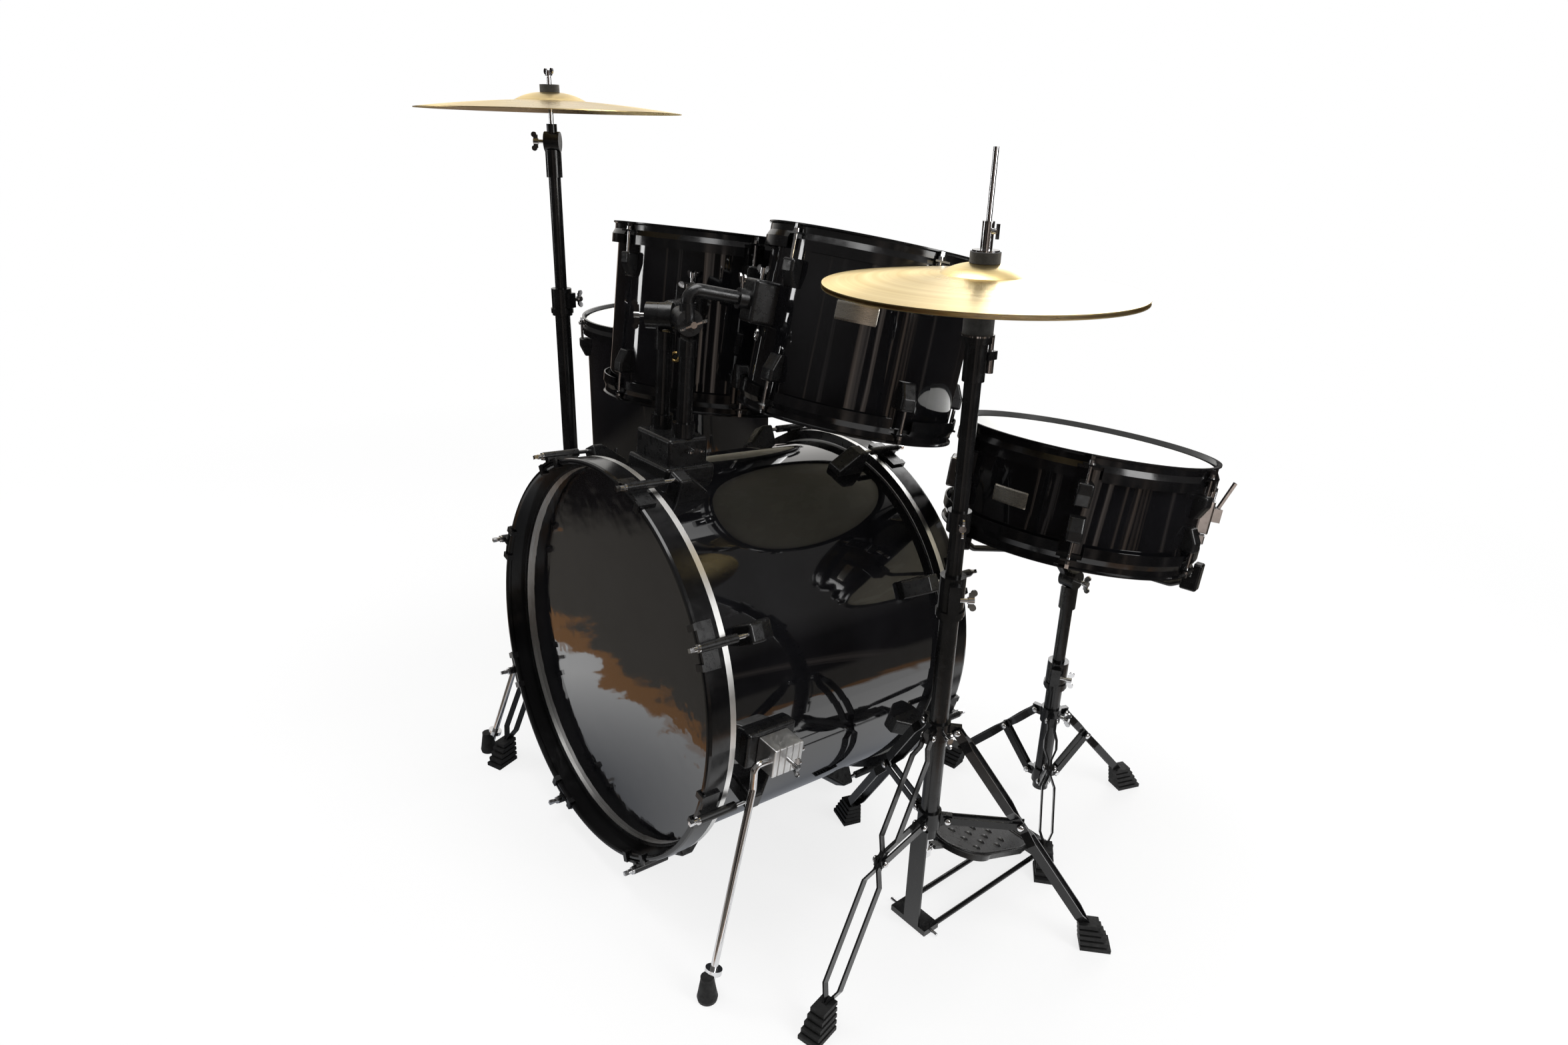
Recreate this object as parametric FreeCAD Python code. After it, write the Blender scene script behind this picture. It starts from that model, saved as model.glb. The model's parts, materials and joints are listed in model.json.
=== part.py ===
"""Acoustic drum kit: bass drum with two rack toms, floor tom, snare on its stand, hi-hat and crash.

Millimetres, +Z up, floor at z = 0.  +X is the audience's right, +Y is towards the drummer.
The bass drum's middle is the working origin; the finished kit is moved so that the middle of
its bounding box's base lies at (0, 0, 0).  Every drum is drawn in its own frame: local Z runs
along its axis, and a rack tom's, snare's or floor tom's top rim lies at local z = 0.
"""
import FreeCAD, Part
import math
import os

V = FreeCAD.Vector
ORIGIN = V(0, 0, 0)
UP = V(0, 0, 1)

# ---- clearances ----
SLIDE_GAP = 0.3          # telescoping tubes, and faces that turn past each other
SHAFT_GAP = 0.1          # a shaft or rod in its bore

# ---- bass drum ----
BASS_R = 279.4           # 22 in shell
BASS_DEPTH = 406.4       # 16 in shell
BASS_WALL = 7.0
BASS_HOOP_OUT = 17.6     # hoop's outside beyond the shell
BASS_HOOP_REACH = 40.0   # hoop edge beyond the shell edge
BASS_HOOP_WALL = 4.0
BASS_BEAD = 8.0          # width of the hoop's rolled lip
BASS_RAISE = 4.0         # degrees, front head lifted by the spurs
BASS_LIFT = 3.2          # rear hoop above the floor, on its lowest claws
BASS_LUGS = 8            # per head
BASS_FIRST_LUG = 27.5
BASS_LUG_DROP = 68.0     # hoop edge to the near end of a lug
BASS_LUG_LONG = 52.0
BASS_LUG_W = 27.0
CLAW_HALF = 31.0         # half width of a claw hook
CLAW_BOSS = 50.0         # claw's rod sleeve behind the hoop edge
BASS_ROD_R = 3.0
BASS_ROD_OUT = 11.0      # rod axis beyond the hoop's outside
FILM = 0.8               # thickness of a drum head
FLESH = 9.0              # height of the bass drum's flesh hoop

# ---- spurs ----
SPUR_ANGLE = -4.0        # degrees round the shell from the horizontal
SPUR_BACK = 65.2         # bracket's middle behind the shell's front edge
SPUR_AXLE_OUT = 38.0     # axle above the shell
SPUR_ROD_R = 5.0
SPUR_FOOT_OUT = 66.6     # foot beyond the side of the shell
SPUR_FOOT_AHEAD = 76.8   # foot in front of the shell's front edge
SPUR_FOOT_R = 13.0
SPUR_FOOT_H = 38.0

# ---- rack-tom mount ----
MOUNT_BACK = 83.2        # behind the shell's front edge
SOCKET_WALL = 5.0        # mount beside each post
MOUNT_D = 66.0
MOUNT_H = 54.0
POST_SPREAD = 28.0       # half the distance between posts
POST_R = 11.0
POST_WALL = 2.5
POST_TOP = 213.0         # tilter axis above the bass shell
POST_TAIL = 90.0         # post inside the bass drum
TILTER_R = 18.5
TILTER_W = 18.5          # each half of a tilter
TILTER_WING = 20.0       # half span of its wing bolt
ARM_R = 9.5
ARM_BEND = 15.0
BRACKET_OUT = 34.0
BRACKET_W = 44.0
BRACKET_H = 60.0
BRACKET_DROP = 112.0     # bracket's middle below the tom's top rim

# ---- drum rims shared by toms, floor tom and snare ----
RIM_RISE = 9.0           # rim above the drum head
RIM_EAR = 15.0           # rim to the hoop's ears, which is where the hoop presses on the head
RIM_FLARE = 34.0         # rim to the hoop's far edge between its ears
RIM_FLARE_OUT = 10.5     # that edge beyond the shell
RIM_NOTCH = 17.0         # half width of the flare's gap at each ear
RIM_STEEL = 2.0
ROD_OUT = 11.5           # tension rod beyond the shell
ROD_R = 2.6
LUG_W = 22.0
LUG_WALL = 6.5           # lug beyond the rod's axis
LUG_ROUND = 4.0

# ---- drums: shell, lugs per head, rim to the near end of a lug, lug height, top centre, lean ----
# A rack tom's centre is measured from its tilter.  What stands beside the bass drum is measured
# from its shell and its front edge, and the snare moves out faster, past the drum's shoulder.
FRONT = -BASS_DEPTH / 2
SHOULDER = 1.5
HIGH_TOM = dict(radius=152.4, depth=240.0, wall=6.0, lugs=5, first=272.0, lug_drop=46.0, lug_h=38.0,
                centre=V(76.5, 279.96, 97.887), lean=V(0.0105, 0.2164, 1))
MID_TOM = dict(radius=165.1, depth=267.0, wall=6.0, lugs=5, first=272.0, lug_drop=46.0, lug_h=38.0,
               centre=V(-242.0, 261.36, 81.187), lean=V(-0.033, 0.137, 1))
FLOOR_TOM = dict(radius=203.2, depth=406.4, wall=6.5, lugs=6, first=246.0, lug_drop=46.0, lug_h=38.0,
                 centre=V(-BASS_R - 423.6, FRONT + 583.2, 676.0), lean=V(0, 0, 1))
SNARE = dict(radius=177.8, depth=139.7, wall=6.0, lugs=6, first=5.0, lug_drop=38.0, lug_h=34.0,
             centre=V(SHOULDER * BASS_R - 70.1, FRONT + 610.2, 651.0), lean=V(-0.009, 0.183, 1))

# ---- floor-tom legs ----
LEG_ROD_R = 4.8
LEG_OUT = 24.0           # leg axis beyond the shell
LEG_TOP = 400.0
LEG_KNEE = 120.0
LEG_SPLAY = 32.0
LEG_FIRST = 276.0
LEG_BRACKET_Z = 290.0
LEG_BRACKET_H = 50.0

# ---- stands ----
TUBE_R = 12.5            # lower tube
TUBE_WALL = 1.9
COLLAR_WALL = 3.5
COLLAR_HALF = 13.0       # half height of a leg collar
EAR_HALF = 4.0           # half thickness of a collar's ear
EAR_OUT = TUBE_R + 12.5  # leg pin from the stand's axis
STRAP = 2.5              # leg strap thickness
STRAP_H = 12.0           # leg strap height
PIN_R = 3.4
FOOT_H = 44.0            # rubber foot of a tripod leg

HAT = V(BASS_R + 143.6, FRONT + 242.2, 0)
HAT_FOOT_R = 237.0
HAT_FIRST = -77.7
HAT_COLLAR = 330.0
HAT_BRACE = 187.0
HAT_KNEE = 0.46          # share of a leg above its knee pin
HAT_TUBE_TOP = 500.0
HAT_INNER_R = 10.0
HAT_RIM = 900.0          # rim of the lower cymbal
HAT_OPEN = 3.0           # gap between the rims
HAT_R = 177.8            # 14 in cymbals
HAT_ROD_R = 3.2
HAT_ROD_END_R = 3.0      # turned-down upper end, above the clutch
HAT_SHOULDER = 2.0       # full-size rod left above the clutch
HAT_ROD_FREE = 72.8      # turned-down length
HAT_ROD_LOW = 132.0

PEDAL_X = HAT.x - 8.0
PEDAL_HEEL = V(PEDAL_X, HAT.y + 253, 18)
PEDAL_TOE = V(PEDAL_X, HAT.y + 27, 114)
PEDAL_HALF = 33.0

CRASH = V(-BASS_R - 96.6, FRONT + 135.2, 0)
CRASH_FOOT_R = 213.0
CRASH_FIRST = -69.4
CRASH_COLLAR = 310.0
CRASH_BRACE = 175.0
CRASH_TUBE_TOP = 768.0
CRASH_INNER_R = 9.5
CRASH_INNER_TOP = 1002.0
CRASH_HINGE = CRASH_INNER_TOP + 33.0
CRASH_RIM = CRASH_HINGE + 44.0
CRASH_R = 203.2          # 16 in cymbal
CRASH_AXIS = V(0.631, 0.776, 0)

STAND = SNARE["centre"] + V(11, -7, -SNARE["centre"].z)   # snare stand
STAND_FOOT_R = 165.0
STAND_FIRST = -50.0
STAND_COLLAR = 180.0
STAND_BRACE = 62.0
STAND_KNEE = 0.36
STAND_TUBE_TOP = 234.0
STAND_INNER_R = 9.5
STAND_HINGE = 426.0
SNARE_WIRE_WAY = 35.0    # heading of the wires, strainer and butt
BASKET_FIRST = 15.0
GRIP_HALF = 12.0         # half width of a basket grip
BASKET_DROP = 20.0       # basket arms below the snare's lower rim

CYMBAL_BOW = 14.0
CYMBAL_BELL = 12.0
CYMBAL_STEEL = 1.2
CYMBAL_HOLE = 6.0

NODES = {}               # node name to its solids, in the working frame
SPUR_AXLES = {}          # front end of each spur's axle
TILTERS = {}             # hinge point and axis of each rack tom's tilter


# ---------------------------------------------------------------- shapes and frames
def unit(vector):
    return V(vector).normalize()


def polar(radius, degrees, z=0.0):
    turn = math.radians(degrees)
    return V(radius * math.cos(turn), radius * math.sin(turn), z)


def frame(origin, up, forward):
    """Placement with local Z along up, and local X along forward made square to up."""
    z = unit(up)
    y = unit(z.cross(forward))
    return FreeCAD.Placement(origin, FreeCAD.Rotation(y.cross(z), y, z, "ZXY"))


def placed(shapes, placement):
    result = []
    for shape in shapes:
        copy = shape.copy()
        copy.Placement = placement.multiply(copy.Placement)
        result.append(copy)
    return result


def add(node, shapes, placement=FreeCAD.Placement()):
    NODES.setdefault(node, []).extend(placed(shapes, placement))


def cylinder(start, end, radius):
    run = end - start
    return Part.makeCylinder(radius, run.Length, start, run)


def sleeve(start, end, outer, inner):
    return cylinder(start, end, outer).cut(cylinder(start, end, inner))


def block(low, high, rounding=0.0):
    size = high - low
    solid = Part.makeBox(size.x, size.y, size.z, low)
    return solid.makeFillet(rounding, solid.Edges) if rounding else solid


def turned(outline):
    """Solid of revolution about Z from a closed outline of (radius, z) points."""
    points = [V(r, 0, z) for r, z in outline]
    return Part.Face(Part.makePolygon(points + points[:1])).revolve(ORIGIN, UP, 360)


def prism(outline, depth):
    """Straight prism along Z from a closed outline of points."""
    return Part.Face(Part.makePolygon(outline + outline[:1])).extrude(V(0, 0, depth))


def wedge(side_view, width, skin):
    """Lug casing from its side view of (radius, height) points, rounded wherever it is beyond skin."""
    solid = prism(side_view, width)
    solid.translate(V(0, 0, -width / 2))
    solid.rotate(ORIGIN, V(1, 0, 0), 90)
    return solid.makeFillet(LUG_ROUND, [edge for edge in solid.Edges if edge.CenterOfMass.x > skin])


def ring_of(shapes, count, first):
    result = []
    for index in range(count):
        for shape in shapes:
            copy = shape.copy()
            copy.rotate(ORIGIN, UP, first + index * 360.0 / count)
            result.append(copy)
    return result


def flipped(shapes, height):
    return [shape.mirror(V(0, 0, height), UP) for shape in shapes]


def fused(shapes):
    return shapes[0].multiFuse(shapes[1:]).removeSplitter()


def bent_rod(points, radius, bend):
    """Round rod along straight runs joined by tangent arcs of radius bend."""
    edges = []
    start = points[0]
    for before, corner, after in zip(points, points[1:], points[2:]):
        back = unit(before - corner)
        on = unit(after - corner)
        half = back.getAngle(on) / 2
        middle = unit(back + on)
        first = corner + back * (bend / math.tan(half))
        last = corner + on * (bend / math.tan(half))
        crown = corner + middle * (bend / math.sin(half) - bend)
        edges += [Part.LineSegment(start, first).toShape(), Part.Arc(first, crown, last).toShape()]
        start = last
    edges.append(Part.LineSegment(start, points[-1]).toShape())
    section = Part.Wire(Part.Circle(points[0], points[1] - points[0], radius).toShape())
    return Part.Wire(edges).makePipeShell([section], True, True)


def wing_bolt(reach=16.0, span=13.0):
    """Wing bolt: shank from local z = 0 outwards, wings at its end."""
    hub = cylinder(V(0, 0, reach - 8), V(0, 0, reach), 4.5)
    wings = []
    for side in (-1, 1):
        lobe = Part.makeCylinder(4.2, 2.6, V(side * (span - 4), 1.3, reach - 1), V(0, -1, 0))
        near, far = sorted((0, side * span * 0.7))
        web = block(V(near, -1.3, reach - 7), V(far, 1.3, reach))
        wings += [lobe, web]
    return fused([cylinder(ORIGIN, V(0, 0, reach - 6), 2.8), hub] + wings)


# ---------------------------------------------------------------- drums
def drum(name, radius, depth, wall, lugs, first, lug_drop, lug_h, centre, lean):
    """Shell, two heads, two pressed hoops, lugs and tension rods of one drum."""
    place = frame(centre, lean, V(1, 0, 0))
    low = -RIM_RISE - depth
    middle = (low - RIM_RISE) / 2
    shell = sleeve(V(0, 0, low), V(0, 0, -RIM_RISE), radius, radius - wall)
    add(name + "_shell", [shell], place)

    inner = radius + 0.4                       # head collar round the shell
    head = turned([(0, FILM - RIM_RISE), (inner + 1, FILM - RIM_RISE), (inner + 1, -RIM_EAR),
                   (inner + 4, -RIM_EAR), (inner + 4, -RIM_EAR - 5), (inner, -RIM_EAR - 5),
                   (inner, -RIM_RISE), (0, -RIM_RISE)])
    add(name + "_heads", [head] + flipped([head], middle), place)

    wall_in = radius + 4.5
    wall_out = wall_in + RIM_STEEL
    flare = radius + RIM_FLARE_OUT
    hoop = turned([(wall_in, 0), (wall_out + 3, 0), (wall_out + 3, -RIM_STEEL),
                   (wall_out, -RIM_STEEL * 2), (wall_out, -RIM_EAR + 3), (flare, -RIM_EAR - 5),
                   (flare, -RIM_FLARE), (flare - RIM_STEEL, -RIM_FLARE),
                   (flare - RIM_STEEL, -RIM_EAR - 6), (radius + 5.5, -RIM_EAR),
                   (radius + 1.9, -RIM_EAR), (radius + 1.9, -RIM_EAR + RIM_STEEL),
                   (wall_in, -RIM_EAR + RIM_STEEL)])
    notch = block(V(radius - 5, -RIM_NOTCH, -RIM_FLARE - 1), V(radius + 30, RIM_NOTCH, -RIM_EAR))
    for cutter in ring_of([notch], lugs, first):
        hoop = hoop.cut(cutter)
    ear = block(V(wall_in + 0.5, -11, -RIM_EAR), V(radius + ROD_OUT + 6.5, 11, -RIM_EAR + 2.5))
    hoop = fused([hoop] + ring_of([ear], lugs, first))
    bore = cylinder(V(radius + ROD_OUT, 0, -RIM_EAR - 1), V(radius + ROD_OUT, 0, 0), ROD_R + SHAFT_GAP)
    for cutter in ring_of([bore], lugs, first):
        hoop = hoop.cut(cutter)
    add(name + "_hoops", [hoop] + flipped([hoop], middle), place)

    axis = radius + ROD_OUT
    seat = -RIM_EAR + 2.5
    rod = fused([cylinder(V(axis, 0, -lug_drop - 14), V(axis, 0, seat), ROD_R),
                 cylinder(V(axis, 0, seat), V(axis, 0, seat + 1.5), 4.8),
                 cylinder(V(axis, 0, seat + 1.5), V(axis, 0, seat + 5), 4.2),
                 block(V(axis - 2.6, -2.6, seat + 5), V(axis + 2.6, 2.6, seat + 11))])
    far = -lug_drop - lug_h
    side_view = [V(radius - 6, -lug_drop, 0), V(radius + LUG_OUT, -lug_drop, 0),
                 V(radius + LUG_OUT, -lug_drop - lug_h * 0.45, 0), V(radius + LUG_OUT * 0.45, far, 0),
                 V(radius - 6, far, 0)]
    lug = wedge(side_view, LUG_W, radius + 3)
    lug = lug.cut(cylinder(V(0, 0, low), ORIGIN, radius))
    lug = lug.cut(cylinder(V(axis, 0, -lug_drop - 15), V(axis, 0, 0), ROD_R + SHAFT_GAP))
    rods = ring_of([rod], lugs, first)
    cases = ring_of([lug], lugs, first)
    add(name + "_rods", rods + flipped(rods, middle), place)
    add(name + "_lugs", cases + flipped(cases, middle), place)
    return place


def on_shell(radius, degrees, z):
    """Frame on a drum's shell: local Z outwards, local X along the drum's axis."""
    return frame(polar(radius, degrees, z), polar(1, degrees), UP)


# ---------------------------------------------------------------- bass drum
RAISE = math.radians(BASS_RAISE)
BASS_HOOP_R = BASS_R + BASS_HOOP_OUT
BASS_HALF = BASS_DEPTH / 2 + BASS_HOOP_REACH
BASS_Z = BASS_LIFT + BASS_HOOP_R * math.cos(RAISE) + BASS_HALF * math.sin(RAISE)
BASS_PLACE = frame(V(0, 0, BASS_Z), V(0, -math.cos(RAISE), math.sin(RAISE)), V(1, 0, 0))
SPUR_SIDES = {"right": SPUR_ANGLE, "left": 180 - SPUR_ANGLE}
SPUR_PLACE = BASS_DEPTH / 2 - SPUR_BACK
SPUR_FOOT = V(BASS_R + SPUR_FOOT_OUT, -BASS_DEPTH / 2 - SPUR_FOOT_AHEAD, 0)
MOUNT_PLACE = BASS_DEPTH / 2 - MOUNT_BACK
MOUNT_W = 2 * (POST_SPREAD + POST_R + SOCKET_WALL)
LUG_OUT = ROD_OUT + LUG_WALL


def bass_drum():
    edge = BASS_DEPTH / 2
    shell = sleeve(V(0, 0, -edge), V(0, 0, edge), BASS_R, BASS_R - BASS_WALL)
    for side in (-1, 1):
        foot = V(side * POST_SPREAD, 0, MOUNT_PLACE)
        shell = shell.cut(cylinder(foot, foot + V(0, BASS_R + 20, 0), POST_R + 1))
    add("bass_shell", [shell], BASS_PLACE)

    film = cylinder(V(0, 0, edge), V(0, 0, edge + FILM), BASS_R + 2.6)
    add("bass_front_head", [film], BASS_PLACE)
    add("bass_batter_head", flipped([film], 0), BASS_PLACE)
    flesh = sleeve(V(0, 0, edge - 2), V(0, 0, edge - 2 + FLESH), BASS_HOOP_R - 0.5, BASS_R + 2.6)
    add("bass_flesh_hoops", [flesh] + flipped([flesh], 0), BASS_PLACE)

    seat = edge - 2 + FLESH
    lip = edge + BASS_HOOP_REACH
    outside = BASS_HOOP_R
    inside = BASS_R + 6
    hoop = turned([(inside, seat), (outside, seat), (outside, lip - 5), (outside - 1, lip - 1.5),
                   (outside - 3, lip), (outside - 6, lip), (outside - BASS_BEAD, lip - 2.5),
                   (outside - BASS_BEAD, lip - 6), (outside - BASS_HOOP_WALL, lip - 9),
                   (outside - BASS_HOOP_WALL, seat + 3), (inside, seat + 3)])
    add("bass_hoops", [hoop] + flipped([hoop], 0), BASS_PLACE)

    axis = BASS_HOOP_R + BASS_ROD_OUT
    saddle = sleeve(V(0, 0, lip - 24), V(0, 0, lip), outside + 4, outside)
    saddle = saddle.common(block(V(outside - 20, -CLAW_HALF, lip - 24), V(outside + 20, CLAW_HALF, lip)))
    boss = cylinder(V(axis, 0, lip - CLAW_BOSS), V(axis, 0, lip + 6), 6)
    web = block(V(outside + 1, -5, lip - 24), V(axis, 5, lip + 2))
    arms = []
    for turn in (-1, 1):
        over = block(V(outside - 11, -4.5, lip), V(outside + 4, 4.5, lip + 3))
        hook = block(V(outside - 11, -4.5, lip - 7), V(outside - BASS_BEAD - 0.2, 4.5, lip + 3))
        for piece in (over, hook):
            piece.rotate(ORIGIN, UP, turn * math.degrees((CLAW_HALF - 5.5) / outside))
            arms.append(piece)
    claw = fused([saddle, boss, web] + arms)
    claw = claw.cut(cylinder(V(axis, 0, lip - CLAW_BOSS - 1), V(axis, 0, lip + 20), BASS_ROD_R + SHAFT_GAP))
    lug_end = lip - BASS_LUG_DROP
    rod = fused([cylinder(V(axis, 0, lug_end - 18), V(axis, 0, lip + 6), BASS_ROD_R),
                 cylinder(V(axis, 0, lip + 6), V(axis, 0, lip + 9), 5.5),
                 cylinder(V(axis, 0, lip + 9), V(axis, 0, lip + 15), 3.6),
                 block(V(axis - 2.8, -2.8, lip + 15), V(axis + 2.8, 2.8, lip + 21))])
    side_view = [V(BASS_R - 8, lug_end, 0), V(axis + 7, lug_end, 0), V(axis + 7, lug_end - 20, 0),
                 V(BASS_R + 10, lug_end - BASS_LUG_LONG, 0), V(BASS_R - 8, lug_end - BASS_LUG_LONG, 0)]
    lug = wedge(side_view, BASS_LUG_W, BASS_R + 4)
    lug = lug.cut(cylinder(V(0, 0, -edge), V(0, 0, edge), BASS_R))
    lug = lug.cut(cylinder(V(axis, 0, lug_end - 19), V(axis, 0, lip), BASS_ROD_R + SHAFT_GAP))
    for node, piece in (("bass_claws", claw), ("bass_rods", rod), ("bass_lugs", lug)):
        row = ring_of([piece], BASS_LUGS, BASS_FIRST_LUG)
        add(node, row + flipped(row, 0), BASS_PLACE)


def spurs():
    """Two brackets on the shell, and a rod that turns in each of them."""
    for side, degrees in SPUR_SIDES.items():
        here = on_shell(BASS_R, degrees, SPUR_PLACE)
        way = 1 if side == "right" else -1
        base = block(V(-40, -27, -12), V(40, 27, 14), 5)
        base = placed([base], here)[0].cut(cylinder(V(0, 0, -200), V(0, 0, 200), BASS_R))
        casting = block(V(-24, -21, 14), V(24, 21, SPUR_AXLE_OUT + 12), 2)
        top = SPUR_AXLE_OUT + 12
        for x in (-17, -6, 5, 16):
            casting = casting.cut(block(V(x - 1.2, -22, top - 2), V(x + 1.2, 22, top + 1)))
        axle_low, axle_high = V(-60, 0, SPUR_AXLE_OUT), V(60, 0, SPUR_AXLE_OUT)
        casting = casting.cut(cylinder(axle_low, axle_high, SPUR_ROD_R + SHAFT_GAP))
        screw = placed([wing_bolt(20, 14)], frame(V(-0.5, 0, top), UP, V(0, 1, 0)))
        shapes = [base] + placed([casting] + screw, here)
        add("spur_brackets", shapes, BASS_PLACE)

        world = BASS_PLACE.multiply(here)
        tail = world.multVec(V(-34, 0, SPUR_AXLE_OUT))
        front = world.multVec(V(46, 0, SPUR_AXLE_OUT))
        foot = V(way * SPUR_FOOT.x, SPUR_FOOT.y, SPUR_FOOT.z)
        knee = front + V(0, -2, -34)
        leg_way = unit(foot - knee)
        end = foot - leg_way * (SPUR_FOOT_H * 0.55)
        rod = bent_rod([tail, front, knee, end], SPUR_ROD_R, 9)
        ring = sleeve(end - leg_way * 22, end - leg_way * 15, 11.5, SPUR_ROD_R)
        rubber = turned([(0, 0), (SPUR_FOOT_R, 0), (SPUR_FOOT_R + 1, 5), (SPUR_FOOT_R, 10),
                         (9, SPUR_FOOT_H - 4), (9, SPUR_FOOT_H), (0, SPUR_FOOT_H)])
        rubber = placed([rubber], FreeCAD.Placement(foot, FreeCAD.Rotation()))[0].cut(rod).cut(ring)
        add("spur_" + side, [rod, ring, rubber])
        SPUR_AXLES[side] = front


# ---------------------------------------------------------------- rack toms
def tom_mount():
    """Base block on top of the bass shell with two split sockets for the posts."""
    here = on_shell(BASS_R, 90, MOUNT_PLACE)      # local X to the front head, local Y to -X
    plinth = block(V(-MOUNT_D / 2 - 8, -MOUNT_W / 2 - 8, -14), V(MOUNT_D / 2 + 8, MOUNT_W / 2 + 8, 16), 5)
    tower = block(V(-MOUNT_D / 2, -MOUNT_W / 2, 6), V(MOUNT_D / 2, MOUNT_W / 2, MOUNT_H), 5)
    body = placed([fused([plinth, tower])], here)[0].cut(cylinder(V(0, 0, -200), V(0, 0, 200), BASS_R))
    for side in (-1, 1):
        foot = V(side * POST_SPREAD, 0, MOUNT_PLACE)
        body = body.cut(cylinder(foot, foot + V(0, BASS_R + 90, 0), POST_R + SHAFT_GAP))
        beside = frame(V(side * MOUNT_W / 2, BASS_R + 40, MOUNT_PLACE), V(side, 0, 0), UP)
        add("tom_mount_base", placed([wing_bolt(18, 13)], beside), BASS_PLACE)
    add("tom_mount_base", [body], BASS_PLACE)


def rack_tom(name, sizes, side):
    """One rack tom with the post, tilter and bent arm that carry it."""
    post_low = BASS_PLACE.multVec(V(side * POST_SPREAD, BASS_R - POST_TAIL, MOUNT_PLACE))
    tilter = BASS_PLACE.multVec(V(side * POST_SPREAD, BASS_R + POST_TOP, MOUNT_PLACE))
    centre = tilter + sizes["centre"]
    place = frame(centre, sizes["lean"], V(1, 0, 0))
    post_way = unit(tilter - post_low)
    base_top = tilter - post_way * (POST_TOP - MOUNT_H)

    local = place.inverse().multVec(tilter)
    degrees = math.degrees(math.atan2(local.y, local.x))
    face = place.multVec(polar(sizes["radius"] + BRACKET_OUT, degrees, -BRACKET_DROP))
    way = place.Rotation.multVec(polar(1, degrees))
    plan = V(way.x, way.y, 0)
    hinge = unit(plan.cross(UP)) * side           # tilter axis, away from the other post
    half = TILTER_W / 2 + SLIDE_GAP / 2
    reach = (tilter - face).dot(unit(plan)) / way.dot(unit(plan))
    elbow = face + way * reach
    hub = V(elbow.x, elbow.y, tilter.z)           # arm's half of the tilter
    post_hub = hub + hinge * (2 * half * side)
    TILTERS[name] = (hub, hinge)

    shaft = sleeve(post_low, tilter - post_way * 26, POST_R, POST_R - POST_WALL)
    lock = sleeve(base_top, base_top + post_way * 20, POST_R + 5, POST_R)
    cap = cylinder(tilter - post_way * 46, tilter - post_way * 12, POST_R + 3)
    cap = cap.cut(cylinder(post_low, tilter - post_way * 26, POST_R))
    joint = (hub + post_hub) * 0.5
    away = unit(post_hub - hub)
    gap = away * (SLIDE_GAP / 2)
    thick = away * TILTER_W
    disc = cylinder(joint + gap, joint + gap + thick, TILTER_R)
    neck = cylinder(tilter - post_way * 14, disc.CenterOfMass, POST_R - 1)
    head = fused([cap, disc, neck]).cut(cylinder(joint + gap, joint - away * 40, TILTER_R + 6))
    add("tom_post_" + name, [shaft, lock, head])
    if side < 0:
        outer, facing, node, wings = joint + gap + thick, away, "tom_post_", UP
    else:
        outer, facing, node, wings = joint - gap - thick, away * -1, "tom_arm_", away.cross(UP) + UP * 0.3

    root = V(elbow.x, elbow.y, tilter.z - 8)
    bar = bent_rod([root, elbow, face], ARM_R, ARM_BEND)
    moving = cylinder(joint - gap, joint - gap - thick, TILTER_R)
    riser = cylinder(root, V(elbow.x, elbow.y, max(elbow.z - ARM_BEND, tilter.z) - 4), ARM_R + 2)
    riser = riser.cut(cylinder(joint + away * 40, joint - gap, TILTER_R + 30))
    carrier = fused([moving, riser]).cut(bar)
    memory = sleeve(face, face + way * 14, ARM_R + 5, ARM_R).cut(bar)
    clip = placed([wing_bolt(16, 13)], frame(face + way * 7 + V(0, 0, ARM_R + 5), UP, hinge))
    add("tom_arm_" + name, [carrier, bar, memory] + clip)
    bolt = placed([wing_bolt(18, TILTER_WING)], frame(outer, facing, wings))[0]
    add(node + name, [max(bolt.cut(carrier).Solids, key=lambda solid: solid.Volume)])

    bracket = block(V(-BRACKET_H / 2, -BRACKET_W / 2, -10), V(BRACKET_H / 2, BRACKET_W / 2, BRACKET_OUT), 5)
    bracket = placed([bracket], on_shell(sizes["radius"], degrees, -BRACKET_DROP))[0]
    bracket = bracket.cut(cylinder(V(0, 0, -sizes["depth"]), ORIGIN, sizes["radius"]))
    lid = polar(sizes["radius"] + 18, degrees, -BRACKET_DROP + BRACKET_H / 2)
    bolt = placed([wing_bolt(16, 13)], frame(lid, UP, V(1, 0, 0)))
    drum("tom_" + name, **dict(sizes, centre=centre))
    add("tom_" + name + "_lugs", [bracket] + bolt, place)


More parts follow.
